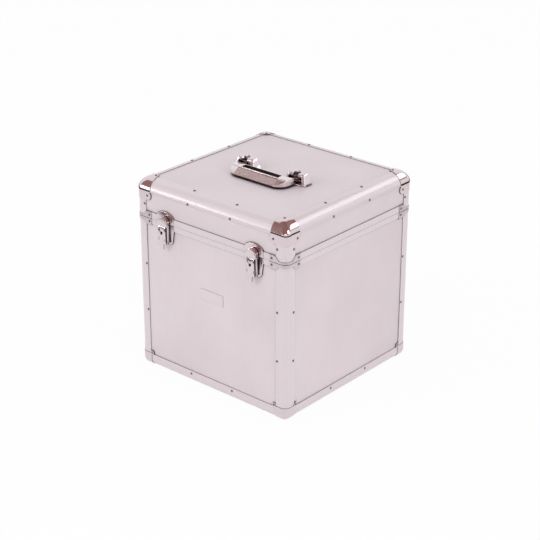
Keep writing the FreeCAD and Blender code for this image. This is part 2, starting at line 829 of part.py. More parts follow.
def lever():
    """Channel-section lever with a stepped front, a keyhole and a finger tab."""
    front, wall, step = size.lever_proud, size.lever_wall, size.lever_step
    top, bottom, fold = -size.lever_top_drop, -size.lever_drop, -size.lever_step_drop
    tab = size.tab_width / 2
    upper = face_plate([(-lever_half, fold), (lever_half, fold), (lever_half, top), (-lever_half, top)],
                       front - wall, front)
    lower = face_plate([(-lever_half, bottom), (lever_half, bottom), (lever_half, fold), (-lever_half, fold)],
                       front - wall - step, front - step)
    join = face_plate([(-lever_half, fold - wall), (lever_half, fold - wall), (lever_half, fold + wall),
                       (-lever_half, fold + wall)], front - wall - step, front - step)
    finger = face_plate(
        [(-tab, bottom - size.tab_length), (tab, bottom - size.tab_length), (tab, bottom + wall),
         (-tab, bottom + wall)], front - wall - step, front - step)
    tip = seam + bottom - size.tab_length
    finger = finger.makeFillet(size.tab_end_radius, [
        edge for edge in finger.Edges
        if edge.BoundBox.YLength > wall / 2 and edge.BoundBox.ZMax < tip + size.pin_play])
    back, nip = size.lever_back, size.lever_chamfer
    flank = side_plate(
        [(front - wall, fold), (front - wall, top), (back + nip, top), (back, top - nip),
         (back, bottom + nip), (back + nip, bottom), (front - wall - step, bottom), (front - wall - step, fold)],
        lever_half - size.lever_flange, lever_half,
    )
    body = union([folded(upper), folded(lower), folded(join), finger] + both_sides(flank))
    relief_out = lever_half - size.lever_flange
    relief = face_plate(
        [(relief_out - size.relief_width, fold - wall - size.relief_length),
         (relief_out, fold - wall - size.relief_length), (relief_out, fold - wall),
         (relief_out - size.relief_width, fold - wall)],
        front - wall - step - size.overrun, front + size.overrun)
    for slot in both_sides(relief):
        body = body.cut(slot)
    keyhole = Part.makeCylinder(size.lock_radius + size.pin_play, front, lock, -Y)
    tail = face_plate(
        [(-size.key_tail_width / 2, -size.lock_drop - size.key_tail_length),
         (size.key_tail_width / 2, -size.lock_drop - size.key_tail_length),
         (size.key_tail_width / 2, -size.lock_drop), (-size.key_tail_width / 2, -size.lock_drop)],
        front - wall - size.overrun, front + size.overrun)
    keyhole.translate(Vector(0, -size.overrun, 0))
    body = body.cut(keyhole).cut(tail)
    for centre in (pivot, claw_pin):
        body = body.cut(hole(centre, size.pin_radius + size.pin_play))
    return body


def claw():
    """Arched hood over the catch, carried on two side arms from a pin in the lever."""
    inner = lever_half + size.claw_gap
    outer = inner + size.claw_wall
    bottom, rise = -size.claw_bottom_drop, size.claw_arch_rise
    back, front = size.lever_back, size.lever_proud
    cap = arch(outer, bottom, rise, back, front)
    level = -half_depth - front
    brow = [edge for edge in cap.Edges
            if edge.BoundBox.YMax < level + size.pin_play and edge.BoundBox.ZMax > seam + rise - size.pin_play]
    hood = cap.makeFillet(size.claw_edge_radius, brow).cut(
        arch(inner, bottom - size.overrun, rise, back - size.overrun, front - size.lever_wall))
    depth, middle_out = size.claw_arm_half_depth, size.claw_pin_proud
    arm = side_plate(
        [(middle_out - depth, -size.claw_pin_drop), (middle_out + depth, -size.claw_pin_drop),
         (middle_out + depth, rise), (middle_out - depth, rise)],
        inner, outer,
    )
    shoulder = [edge for edge in arm.Edges
                if is_upright(edge) and edge.BoundBox.XMin > latch_x + outer - size.pin_play
                and edge.BoundBox.YMax < -half_depth - middle_out]
    arm = arm.makeFillet(size.claw_edge_radius, shoulder)
    end = Part.makeCylinder(size.claw_end_radius, size.claw_wall, claw_pin + X * inner, X)
    arms = both_sides(union([arm, end]))
    return union([hood] + arms).cut(hole(claw_pin, size.pin_radius + size.pin_play))


def lock_cylinder():
    """Lock plug with a key slot in front and a cam behind."""
    front = size.lever_proud - size.lock_recess
    plug = Part.makeCylinder(size.lock_radius, front - size.lock_back, lock - Y * size.lock_back, -Y)
    cam_low = -size.lock_drop - size.lock_cam_width / 2
    cam_high = cam_low + size.lock_cam_width
    cam = face_plate(
        [(0, cam_low), (size.lock_cam_length, cam_low), (size.lock_cam_length, cam_high), (0, cam_high)],
        size.lock_back, size.lock_back + size.lock_cam_thickness)
    slot = face_plate(
        [(-size.key_slot_width / 2, -size.lock_drop - size.lock_radius),
         (size.key_slot_width / 2, -size.lock_drop - size.lock_radius),
         (size.key_slot_width / 2, -size.lock_drop + size.lock_radius / 2),
         (-size.key_slot_width / 2, -size.lock_drop + size.lock_radius / 2)],
        front - size.key_slot_depth, front + size.overrun)
    return union([plug, cam]).cut(slot)


for label, shape in (
    ("latch_base_plate", latch_base_plate()),
    ("latch_lever", lever()),
    ("latch_claw", claw()),
    ("lock_cylinder", lock_cylinder()),
):
    keep(feature(label + "_right", shape))
    keep(feature(label + "_left", mirror_x(shape)))
keeper = keeper_plate()
keep(feature("latch_keeper_plates", Part.makeCompound([keeper, mirror_x(keeper)])))

# pins of the latches: pivots in the ears, claw pins across the levers

ALONG_X = Rotation(Vector(0, 1, 0), 90)
LATCH_X = "(case_width / 2 - latch_side_inset)"
PIVOT_PLACE = ("-case_depth / 2 - pivot_proud", SEAM + " - pivot_drop")
CLAW_PLACE = ("-case_depth / 2 - claw_pin_proud", SEAM + " - claw_pin_drop")
CLAW_HALF = "(lever_width / 2 + claw_gap + claw_wall + claw_pin_overhang)"
keep(group("latch_pivot_pins", [
    rod("latch_pivot_pin_right", "pin_radius", "lever_width",
        (LATCH_X + " - lever_width / 2",) + PIVOT_PLACE, ALONG_X),
    rod("latch_pivot_pin_left", "pin_radius", "lever_width",
        ("-" + LATCH_X + " - lever_width / 2",) + PIVOT_PLACE, ALONG_X),
]))
keep(rod("claw_pin_right", "pin_radius", "2 * " + CLAW_HALF,
         (LATCH_X + " - " + CLAW_HALF,) + CLAW_PLACE, ALONG_X))
keep(rod("claw_pin_left", "pin_radius", "2 * " + CLAW_HALF,
         ("-" + LATCH_X + " - " + CLAW_HALF,) + CLAW_PLACE, ALONG_X))


# butt hinges at the back

KNUCKLES = 5
hinge_y = half_depth + size.hinge_axis_out
knuckle_length = (size.hinge_width - (KNUCKLES - 1) * size.hinge_knuckle_gap) / KNUCKLES


def hinge_leaf(centre_x, up):
    """One leaf: a joggled plate and its share of the five knuckles."""
    left = centre_x - size.hinge_width / 2
    thick, clear = size.hinge_leaf_thickness, size.hinge_knuckle_radius + size.hinge_leaf_gap
    near, far = seam + up * clear, seam + up * size.hinge_leaf_height
    plate = box_between(
        Vector(left, half_depth - size.profile_wall, min(near, far)),
        Vector(left + size.hinge_width, half_depth + thick, max(near, far)),
    )
    edge = rim_top if up > 0 else rim_bottom
    rim = box_between(
        Vector(left - size.overrun, half_depth - size.profile_wall - size.overrun, min(seam, edge)),
        Vector(left + size.hinge_width + size.overrun, half_depth, max(seam, edge)),
    )
    pieces = [plate.cut(rim)]
    for index in range(KNUCKLES):
        if (index % 2 == 0) == (up > 0):
            continue
        start = left + index * (knuckle_length + size.hinge_knuckle_gap)
        pieces.append(Part.makeCylinder(
            size.hinge_knuckle_radius, knuckle_length, Vector(start, hinge_y, seam), X))
        pieces.append(box_between(
            Vector(start, half_depth, min(seam, near)),
            Vector(start + knuckle_length, half_depth + thick, max(seam, near)),
        ))
    bore = Part.makeCylinder(
        size.hinge_pin_radius + size.pin_play, size.hinge_width + 2 * size.overrun,
        Vector(left - size.overrun, hinge_y, seam), X)
    return union(pieces).cut(bore)


hinge_x = half_width - size.hinge_side_inset
keep(feature("base_hinge_leaves", Part.makeCompound([hinge_leaf(place, -1) for place in (-hinge_x, hinge_x)])))
keep(feature("lid_hinge_leaves", Part.makeCompound([hinge_leaf(place, 1) for place in (-hinge_x, hinge_x)])))
HINGE_X = "(case_width / 2 - hinge_side_inset)"
HINGE_PLACE = ("case_depth / 2 + hinge_axis_out", SEAM)
keep(group("hinge_pins", [
    rod("hinge_pin_right", "hinge_pin_radius", "hinge_width",
        (HINGE_X + " - hinge_width / 2",) + HINGE_PLACE, ALONG_X),
    rod("hinge_pin_left", "hinge_pin_radius", "hinge_width",
        ("-" + HINGE_X + " - hinge_width / 2",) + HINGE_PLACE, ALONG_X),
]))


# carrying handle: two hooded brackets, their pins, a U-shaped grip and its insert

deck = size.case_height - size.profile_wall
axis_y, axis_z = -size.handle_axis_front, size.case_height + size.handle_axis_rise
arm_inner = size.arm_outer - size.arm_width
hood_x = (size.arm_outer + arm_inner) / 2


def rectangle(x_low, x_high, y_low, y_high, height):
    return Part.makePolygon([
        Vector(x_low, y_low, height), Vector(x_high, y_low, height),
        Vector(x_high, y_high, height), Vector(x_low, y_high, height), Vector(x_low, y_low, height),
    ])


def handle_bracket():
    """Tapered cast hood on the lid, open in front, where the grip's arm turns on a pin."""
    long, short = size.hood_length / 2, size.hood_top_length / 2
    roof = size.case_height + size.hood_height
    hood = Part.makeLoft([
        rectangle(hood_x - long, hood_x + long, -size.hood_front, size.hood_back, deck),
        rectangle(hood_x - short, hood_x + short, -size.hood_top_front, size.hood_top_back, roof),
    ], True, True)
    upper = [edge for edge in hood.Edges if edge.BoundBox.ZMax > roof - size.pin_play]
    hood = hood.makeFillet(size.hood_edge_radius, upper)
    floor = size.case_height + size.hood_slot_floor
    front = -size.hood_front - size.overrun
    wide, narrow = size.hood_mouth_width / 2, size.arm_width / 2 + size.hood_slot_play
    cave = box_between(
        Vector(hood_x - wide, front, floor),
        Vector(hood_x + wide, -size.hood_slot_back, size.case_height + size.hood_slot_height),
    )
    top_corners = [edge for edge in cave.Edges
                   if edge.BoundBox.YLength > size.hood_mouth_radius and edge.BoundBox.ZMin > floor + size.pin_play]
    cave = cave.makeFillet(size.hood_mouth_radius, top_corners)
    notch = box_between(
        Vector(hood_x - narrow, front, floor),
        Vector(hood_x + narrow, -size.hood_roof_front, roof + size.overrun),
    )
    knob = Part.makeCone(size.hood_knob_radius, size.hood_knob_top_radius, size.hood_knob_height,
                         Vector(hood_x, -size.hood_knob_back, roof), Z)
    bore = Part.makeCylinder(size.handle_pin_radius + size.pin_play, 2 * (wide + size.hood_pin_depth),
                             Vector(hood_x - wide - size.hood_pin_depth, axis_y, axis_z), X)
    return union([hood.cut(cave).cut(notch), knob]).cut(bore)


def grip_plan():
    """The U seen from above, with large outer and small inner corners, as a tall prism."""
    low = size.case_height
    high = low + size.grip_top + size.overrun
    back = axis_y + size.arm_end_radius + size.overrun
    outer = box_between(Vector(-size.arm_outer, -size.grip_front, low), Vector(size.arm_outer, back, high))
    rounded = [edge for edge in outer.Edges
               if is_upright(edge) and edge.BoundBox.YMax < -size.grip_back]
    outer = outer.makeFillet(size.grip_outer_radius, rounded)
    inner = box_between(Vector(-arm_inner, -size.grip_back, low), Vector(arm_inner, back + size.overrun, high))
    rounded = [edge for edge in inner.Edges
               if is_upright(edge) and edge.BoundBox.YMax < -size.arm_end_radius - size.grip_inner_radius]
    inner = inner.makeFillet(size.grip_inner_radius, rounded)
    return outer.cut(inner)


def grip_side():
    """The grip seen from the side: a bevelled bar that slopes down to two round eyes."""
    def at(front, rise):
        return Vector(-size.arm_outer, -front, size.case_height + rise)

    bottom = size.handle_axis_rise - size.arm_end_radius
    top = size.handle_axis_rise + size.arm_end_radius
    axis = size.handle_axis_front
    ledge = size.grip_top - size.grip_ledge_drop
    outline = Part.Wire([
        Part.makeLine(at(size.grip_front, size.grip_bottom), at(size.grip_front, size.grip_nose)),
        Part.makeLine(at(size.grip_front, size.grip_nose), at(size.grip_bevel_back, ledge)),
        Part.makeLine(at(size.grip_bevel_back, ledge), at(size.grip_bevel_back - size.grip_ledge, ledge)),
        Part.makeLine(at(size.grip_bevel_back - size.grip_ledge, ledge),
                      at(size.grip_bevel_back - size.grip_ledge, size.grip_top)),
        Part.makeLine(at(size.grip_bevel_back - size.grip_ledge, size.grip_top),
                      at(size.grip_back, size.grip_top)),
        Part.makeLine(at(size.grip_back, size.grip_top), at(size.grip_slope_end, top)),
        Part.makeLine(at(size.grip_slope_end, top), at(axis, top)),
        Part.Arc(at(axis, top), at(axis - size.arm_end_radius, size.handle_axis_rise), at(axis, bottom)).toShape(),
        Part.makeLine(at(axis, bottom), at(size.grip_front, size.grip_bottom)),
    ])
    return Part.Face(outline).extrude(Vector(2 * size.arm_outer, 0, 0))


def insert_shape(depth, rise):
    """The insert's pill-shaped plan between two heights about the bar's top."""
    top = size.case_height + size.grip_top
    low = Vector(-size.insert_length / 2, -size.insert_front, top - depth)
    pill = box_between(low, Vector(size.insert_length / 2, -size.insert_back, top + rise))
    ends = [edge for edge in pill.Edges if is_upright(edge)]
    return pill.makeFillet(size.insert_end_radius, ends)


def handle_grip():
    """U-shaped grip with a pocket for the insert and an eye in each arm."""
    body = grip_plan().common(grip_side())
    lower = [edge for edge in body.Edges
             if edge.BoundBox.YMin < -size.grip_front + size.pin_play and edge.BoundBox.XLength > size.arm_width]
    body = body.makeFillet(size.grip_edge_radius, lower)
    bore = Part.makeCylinder(size.handle_pin_radius + size.pin_play, 2 * size.arm_outer + 2 * size.overrun,
                             Vector(-size.arm_outer - size.overrun, axis_y, axis_z), X)
    return body.cut(insert_shape(size.insert_depth, size.overrun)).cut(bore)


bracket = handle_bracket()
keep(feature("handle_bracket_right", bracket))
keep(feature("handle_bracket_left", mirror_x(bracket)))
keep(feature("handle_grip", handle_grip()))
keep(feature("grip_insert", insert_shape(size.insert_depth, size.insert_rise)))
HANDLE_PLACE = ("-handle_axis_front", "case_height + handle_axis_rise")
HANDLE_PIN_HALF = "(hood_mouth_width / 2 + hood_pin_depth)"
keep(group("handle_pins", [
    rod("handle_pin_right", "handle_pin_radius", "2 * " + HANDLE_PIN_HALF,
        ("arm_outer - arm_width / 2 - " + HANDLE_PIN_HALF,) + HANDLE_PLACE, ALONG_X),
    rod("handle_pin_left", "handle_pin_radius", "2 * " + HANDLE_PIN_HALF,
        ("-arm_outer + arm_width / 2 - " + HANDLE_PIN_HALF,) + HANDLE_PLACE, ALONG_X),
]))


# checks, then one file for each sub-part

doc.recompute()
for item in doc.Objects:
    if "Invalid" in item.State or "Error" in item.State:
        raise RuntimeError(f"{item.Label} failed: {item.State}")
for item in nodes:
    shape = item.Shape
    if shape.isNull() or not shape.isValid() or not shape.Solids:
        raise RuntimeError(f"{item.Label} has no valid solid")
os.makedirs("parts", exist_ok=True)
for item in nodes:
    item.Shape.exportStep(os.path.join("parts", f"{item.Label}.step"))
    print(item.Label, len(item.Shape.Solids), round(item.Shape.Volume))
print(len(nodes), "sub-parts")
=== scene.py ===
"""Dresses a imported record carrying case: finishes, rounded edges, rivets, studio and camera.

Every length in this file is in metres unless its name ends in _mm. The case stands on the
ground plane, its latches face -Y and its hinges +Y.
"""

from __future__ import annotations

import json
import logging
import math
from dataclasses import dataclass, field
from enum import Enum

import bmesh
import bpy
from bmesh.types import BMesh, BMVert
from bpy.types import Material, Mesh, Node, NodeSocket, NodeTree, Object
from mathutils import Matrix, Vector

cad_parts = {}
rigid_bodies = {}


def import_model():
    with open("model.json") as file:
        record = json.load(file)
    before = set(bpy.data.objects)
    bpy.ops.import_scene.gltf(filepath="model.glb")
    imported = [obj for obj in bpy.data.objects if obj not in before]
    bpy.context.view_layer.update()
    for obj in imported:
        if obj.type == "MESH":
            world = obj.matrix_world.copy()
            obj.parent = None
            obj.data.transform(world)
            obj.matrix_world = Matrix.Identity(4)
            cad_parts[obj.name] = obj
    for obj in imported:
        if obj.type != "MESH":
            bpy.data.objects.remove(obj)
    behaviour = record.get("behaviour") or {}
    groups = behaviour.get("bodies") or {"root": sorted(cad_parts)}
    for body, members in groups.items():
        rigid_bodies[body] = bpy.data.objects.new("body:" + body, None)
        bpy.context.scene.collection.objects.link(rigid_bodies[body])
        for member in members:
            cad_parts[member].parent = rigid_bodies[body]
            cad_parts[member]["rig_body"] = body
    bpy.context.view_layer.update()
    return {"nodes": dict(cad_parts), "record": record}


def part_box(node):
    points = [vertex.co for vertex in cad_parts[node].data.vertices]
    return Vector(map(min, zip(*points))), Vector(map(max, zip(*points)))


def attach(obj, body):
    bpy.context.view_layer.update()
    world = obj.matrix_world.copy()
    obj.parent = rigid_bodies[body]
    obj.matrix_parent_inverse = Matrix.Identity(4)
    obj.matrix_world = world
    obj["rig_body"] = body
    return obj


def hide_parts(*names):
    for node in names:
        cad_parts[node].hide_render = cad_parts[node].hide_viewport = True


LOG = logging.getLogger("record_case")
MM = 0.001
# vertices nearer to each other than this are one
WELD = 0.002 * MM
# neighbouring faces that turn by less than this are one
FLAT_DEG = 0.6
CORNERS = ("front_left", "front_right", "back_left", "back_right")
Color = tuple[float, float, float, float]


class Axis(Enum):
    """The direction in which an extrusion was drawn."""

    X = 0
    Y = 1
    Z = 2


def linear(hex_color: str) -> Color:
    """Turns an sRGB hex value into a linear colour with full alpha.

    Args:
        hex_color: Six hex digits, red first.

    Returns:
        Linear red, green, blue and an alpha of 1.
    """
    channels = [int(hex_color[i:i + 2], 16) / 255 for i in (0, 2, 4)]
    red, green, blue = (
        c / 12.92 if c <= 0.04045 else ((c + 0.055) / 1.055) ** 2.4 for c in channels)
    return red, green, blue, 1.0


def new_material(name: str) -> tuple[Material, NodeTree]:
    """Makes an empty node material.

    Args:
        name: The material's name.

    Returns:
        The material and its tree.
    """
    material = bpy.data.materials.new(name)
    material.use_nodes = True
    material.node_tree.nodes.clear()
    return material, material.node_tree


def add_node(
    tree: NodeTree,
    kind: str,
    settings: dict[str, object] | None = None,
    inputs: dict[str | int, object] | None = None,
) -> Node:
    """Adds a shader node with its settings and links.

    Args:
        tree: The node tree to add to.
        kind: The node's type name.
        settings: Values for the node's own properties.
        inputs: For each input, by name or number, a value or the output socket that feeds it.

    Returns:
        The new node.
    """
    node = tree.nodes.new(kind)
    for name, value in (settings or {}).items():
        setattr(node, name, value)
    for name, value in (inputs or {}).items():
        if isinstance(value, NodeSocket):
            tree.links.new(value, node.inputs[name])
        else:
            node.inputs[name].default_value = value
    return node


def add_math(tree: NodeTree, operation: str, *values: NodeSocket | float) -> NodeSocket:
    """Adds one calculation and returns its result.

    Args:
        tree: The node tree to add to.
        operation: The calculation's name.
        values: What it reads, each a number or an output socket.

    Returns:
        The socket with the result.
    """
    node = add_node(tree, "ShaderNodeMath", {"operation": operation}, dict(enumerate(values)))
    return node.outputs[0]


def add_range(
    tree: NodeTree,
    value: NodeSocket,
    source: tuple[float, float] = (0.0, 1.0),
    target: tuple[float, float] = (0.0, 1.0),
) -> NodeSocket:
    """Maps a value from one range to another, and holds it there.

    Args:
        tree: The node tree to add to.
        value: The value that is mapped.
        source: The range that it is mapped from.
        target: The range that it is mapped to.

    Returns:
        The socket with the mapped value.
    """
    node = add_node(tree, "ShaderNodeMapRange", inputs={
        "Value": value, "From Min": source[0], "From Max": source[1],
        "To Min": target[0], "To Max": target[1]})
    return node.outputs[0]


def add_place(tree: NodeTree, scale: tuple[float, float, float] | None = None) -> NodeSocket:
    """Adds the piece's own coordinates, stretched or plain.

    Args:
        tree: The node tree to add to.
        scale: How much each axis is stretched, or nothing.

    Returns:
        The socket with the coordinates.
    """
    place = add_node(tree, "ShaderNodeTexCoord").outputs["Object"]
    if scale is None:
        return place
    return add_node(tree, "ShaderNodeMapping", inputs={"Vector": place, "Scale": scale}).outputs[0]


def add_noise(
    tree: NodeTree, place: NodeSocket, scale: float, detail: float, roughness: float = 0.5
) -> NodeSocket:
    """Adds a noise from 0 to 1.

    Args:
        tree: The node tree to add to.
        place: The coordinates that it reads.
        scale: How many of its cells fit in one unit.
        detail: How many finer layers it has.
        roughness: How strong the finer layers are.

    Returns:
        The socket with the noise's value.
    """
    noise = add_node(tree, "ShaderNodeTexNoise", inputs={
        "Vector": place, "Scale": scale, "Detail": detail, "Roughness": roughness})
    return noise.outputs["Fac"]


def add_ramp(
    tree: NodeTree, source: NodeSocket, low: float, high: float, colors: tuple[str, str]
) -> NodeSocket:
    """Adds a colour ramp between two hex colours.

    Args:
        tree: The node tree to add to.
        source: The value that the ramp reads.
        low: The value that gives the first colour.
        high: The value that gives the second colour.
        colors: The two sRGB hex colours.

    Returns:
        The socket with the colour.
    """
    ramp = add_node(tree, "ShaderNodeValToRGB", inputs={0: source})
    for element, place, color in zip(ramp.color_ramp.elements, (low, high), colors):
        element.position = place
        element.color = linear(color)
    return ramp.outputs[0]


def add_product(
    tree: NodeTree,
    tone: NodeSocket | Color,
    shade: NodeSocket | Color,
    share: NodeSocket | float = 1.0,
) -> NodeSocket:
    """Multiplies one colour by another.

    Args:
        tree: The node tree to add to.
        tone: The colour that is shaded.
        shade: The colour that shades it.
        share: How much of the shade counts, from 0 to 1.

    Returns:
        The socket with the product.
    """
    settings = {"data_type": "RGBA", "blend_type": "MULTIPLY"}
    return add_node(tree, "ShaderNodeMix", settings, {0: share, 6: tone, 7: shade}).outputs[2]


def add_bump(
    tree: NodeTree, height: NodeSocket, strength: NodeSocket | float, distance_mm: float
) -> NodeSocket:
    """Adds a relief that is too fine for the mesh.

    Args:
        tree: The node tree to add to.
        height: The relief's height, in shares of the distance.
        strength: How much of it shows.
        distance_mm: How far a height of 1 stands out, in millimetres.

    Returns:
        The socket with the normal.
    """
    bump = add_node(tree, "ShaderNodeBump", inputs={
        "Strength": strength, "Distance": distance_mm * MM, "Height": height})
    return bump.outputs[0]


def add_surface(tree: NodeTree, inputs: dict[str, object]) -> Node:
    """Adds a material's shader and its output.

    Args:
        tree: The node tree to add to.
        inputs: The shader's inputs by name.

    Returns:
        The shader.
    """
    surface = add_node(tree, "ShaderNodeBsdfPrincipled", inputs=inputs)
    add_node(tree, "ShaderNodeOutputMaterial", inputs={"Surface": surface.outputs[0]})
    return surface


@dataclass(frozen=True)
class JointShade:
    """Painted shade: a surface darkens where another stands close, in joints, recesses and under
    parts.

    Attributes:
        reach_mm: How far away a neighbour still counts.
        full: The open share at which the dark colour is full.
        none: The open share from which the surface keeps its own colour.
        dark: The sRGB hex colour that multiplies the surface's own, deep in the painted shade.
        samples: How many rays look for a neighbour.
    """

    reach_mm: float = 3.0
    full: float = 0.25
    none: float = 0.8
    dark: str = "1A1616"
    samples: int = 12

    def apply(self, tree: NodeTree, tone: NodeSocket | Color) -> NodeSocket:
        """Paints shade into a colour where a neighbour stands close.

        Args:
            tree: The node tree to add to.
            tone: The surface's own colour.

        Returns:
            The socket with the shaded colour.
        """
        # ambient occlusion says how open the surface is; the less open, the darker the painted
        # shade
        open_share = add_node(tree, "ShaderNodeAmbientOcclusion", {"samples": self.samples}, {
            "Distance": self.reach_mm * MM})
        shade = add_ramp(
            tree, open_share.outputs["AO"], self.full, self.none, (self.dark, "FFFFFF"))
        return add_product(tree, tone, shade)


@dataclass(frozen=True)
class Laminate:
    """Silver film on fibreboard: rolled on, satin, with a faint upright grain.

    The film scatters most of the light and keeps a soft sheen, so it reads as pale silver.
    Painted shade draws a thin dark line where an extrusion or a plate meets it, and a painted
    shadow under the handle's grip.
    """

    name: str = "silver_laminate"
    color: str = "E5D9DD"
    shade: str = "DDD0D5"
    joint: JointShade = JointShade(reach_mm=7.0, full=0.45, none=0.88, dark="2E272A")
    roughness: float = 0.46
    metallic: float = 0.1
    grain_mm: float = 1.1
    grain_stretch: float = 60.0
    grain_share: float = 0.55
    grain_depth: float = 0.05
    clouds_per_metre: float = 9.0

    def build(self) -> Material:
        """Builds the material."""
        material, tree = new_material(self.name)
        # grain lines about 1 mm apart and 60 mm long, drawn coarser than the film's own
        fine = 1 / (self.grain_mm * MM)
        stretched = add_place(tree, (fine, fine, fine / self.grain_stretch))
        grain = add_noise(tree, stretched, scale=1.0, detail=3.0, roughness=0.6)
        cloud = add_noise(tree, add_place(tree), self.clouds_per_metre, detail=2.0)
        mixed = add_math(tree, "MULTIPLY_ADD", grain, self.grain_share, cloud)
        tone = add_ramp(tree, mixed, low=0.5, high=1.0, colors=(self.shade, self.color))
        # the joint shade paints shade and shadow into the colour where parts stand close
        add_surface(tree, {
            "Base Color": self.joint.apply(tree, tone), "Metallic": self.metallic,
            "Roughness": self.roughness,
            "Normal": add_bump(tree, grain, self.grain_depth, distance_mm=0.3)})
        return material


@dataclass(frozen=True)
class AnodisedAluminium:
    """Clear anodised extrusion, drawn through a die that leaves fine flutes along its length.

    The oxide scatters the light softly, and a narrow sheen runs along the rounded edge.
    """

    axis: Axis
    color: str = "E4D8DC"
    shade: str = "D7CBD1"
    joint: JointShade = JointShade(reach_mm=2.0, full=0.38, none=0.8, dark="352D31")
    roughness: float = 0.27
    metallic: float = 0.12
    line_mm: float = 0.7
    line_stretch: float = 400.0
    line_depth: float = 0.1
    flute_mm: float = 2.4
    flute_share: float = 0.55

    def build(self) -> Material:
        """Builds the material for one drawing direction."""
        material, tree = new_material(f"anodised_aluminium_{self.axis.name.lower()}")
        # die lines about 0.7 mm apart, unbroken over most of a length
        across = 1 / (self.line_mm * MM)
        scale = [across, across, across]
        scale[self.axis.value] = across / self.line_stretch
        lines = add_noise(tree, add_place(tree, scale), scale=1.0, detail=2.0, roughness=0.7)
        height = add_math(tree, "MULTIPLY_ADD", self.flutes(tree), self.flute_share, lines)
        tone = add_ramp(tree, height, low=0.3, high=1.0, colors=(self.shade, self.color))
        rough = add_range(tree, lines, target=(self.roughness - 0.05, self.roughness + 0.08))
        # painted shade darkens the colour where the extrusion meets a panel or another extrusion
        add_surface(tree, {
            "Base Color": self.joint.apply(tree, tone), "Metallic": self.metallic,
            "Roughness": rough,
            "Normal": add_bump(tree, height, self.line_depth, distance_mm=0.3)})
        return material

    def flutes(self, tree: NodeTree) -> NodeSocket:
        """Adds fine flutes that follow the profile round its corner.

        Args:
            tree: The node tree to add to.

        Returns:
            The socket with the flutes' height, from 0 to 1.
        """
        parts = add_node(tree, "ShaderNodeSeparateXYZ", inputs={0: add_place(tree)}).outputs
        first, second = (
            add_math(tree, "ABSOLUTE", parts[name]) for name in "XYZ" if name != self.axis.name)
        across = add_math(tree, "SUBTRACT", first, second)
        # the real flutes are about 1.5 mm apart, drawn a little coarser so that they show
        turns = add_math(tree, "MULTIPLY", across, math.tau / (self.flute_mm * MM))
        return add_range(tree, add_math(tree, "SINE", turns), source=(-1.0, 1.0))


@dataclass(frozen=True)
class PlatedSteel:
    """Pressed steel with a plated finish: mirror chrome when smooth, nickel when rougher.

    Fine handling marks break the reflection up a little, and painted shade darkens its recesses and
    gaps.
    """

    name: str
    color: str
    roughness: float
    recess: JointShade = JointShade()
    mark_mm: float = 6.0
    mark_spread: float = 0.05

    def build(self) -> Material:
        """Builds the material."""
        material, tree = new_material(self.name)
        marks = add_noise(
            tree, add_place(tree), 1 / (self.mark_mm * MM), detail=4.0, roughness=0.65)
        rough = add_range(
            tree, marks, source=(0.35, 0.75),
            target=(self.roughness, self.roughness + self.mark_spread))
        # painted shade darkens the plate's colour in its recesses
        surface = add_surface(tree, {
            "Base Color": self.recess.apply(tree, linear(self.color)), "Metallic": 1.0,
            "Roughness": rough})
        self.add_relief(tree, surface)
        return material

    def add_relief(self, tree: NodeTree, surface: Node) -> None:
        """Adds no relief, because plain plate is smooth.

        Args:
            tree: The node tree; not used here.
            surface: The shader that a relief would feed; not used here.
        """


@dataclass(frozen=True)
class KnurledChrome(PlatedSteel):
    """Chrome over a die-cast grip, whose sloping front carries fine crossed grooves.

    Its places are the case's own coordinates, with the grip folded flat.
    """

    groove_mm: float = 2.6
    groove_slope: float = 2.2
    groove_depth: float = 0.55
    groove_shade: str = "E3D5D2"
    groove_light: str = "FFFAFA"
    half_length_mm: float = 45.5
    front_y_mm: float = -46.5
    ledge_y_mm: float = -45.4
    ledge_mm: float = 1.9
    ledge_shade: str = "A58B86"

    def add_relief(self, tree: NodeTree, surface: Node) -> None:
        """Adds the crossed grooves on the grip's front, between its smooth corners, with painted
        shade in them and a painted dark line along the ledge above.

        Args:
            tree: The node tree to add to.
            surface: The shader that the relief feeds.
        """
        parts = add_node(tree, "ShaderNodeSeparateXYZ", inputs={0: add_place(tree)}).outputs
        waves = []
        # the real grooves are about 1 mm apart, drawn coarser so that they show
        for slope in (self.groove_slope, -self.groove_slope):
            along = add_math(tree, "MULTIPLY_ADD", parts["Z"], slope, parts["X"])
            turns = add_math(tree, "MULTIPLY", along, math.tau / (self.groove_mm * MM))
            waves.append(add_math(tree, "SINE", turns))
        crossed = add_math(tree, "ADD", *waves)
        side = add_math(tree, "ABSOLUTE", parts["X"])
        within = add_math(tree, "LESS_THAN", side, self.half_length_mm * MM)
        ahead = add_math(tree, "LESS_THAN", parts["Y"], self.front_y_mm * MM)
        knurled = add_math(tree, "MULTIPLY", within, ahead)
        strength = add_math(tree, "MULTIPLY", knurled, self.groove_depth)
        relief = add_bump(tree, crossed, strength, distance_mm=0.35)
        tree.links.new(relief, surface.inputs["Normal"])
        # painted shade darkens the grooves, and a painted shade line runs along the ledge above
        # them
        raised = add_range(tree, crossed, source=(-1.6, 1.2))
        painted_knurl_shade = add_ramp(
            tree, raised, low=0.0, high=1.0, colors=(self.groove_shade, self.groove_light))
        behind = add_math(
            tree, "COMPARE", parts["Y"], self.ledge_y_mm * MM, self.ledge_mm / 2 * MM)
        painted_ledge_mask = add_math(tree, "MULTIPLY", behind, within)
        tone = surface.inputs["Base Color"].links[0].from_socket
        tone = add_product(tree, tone, painted_knurl_shade, knurled)
        tone = add_product(tree, tone, linear(self.ledge_shade), painted_ledge_mask)
        tree.links.new(tone, surface.inputs["Base Color"])


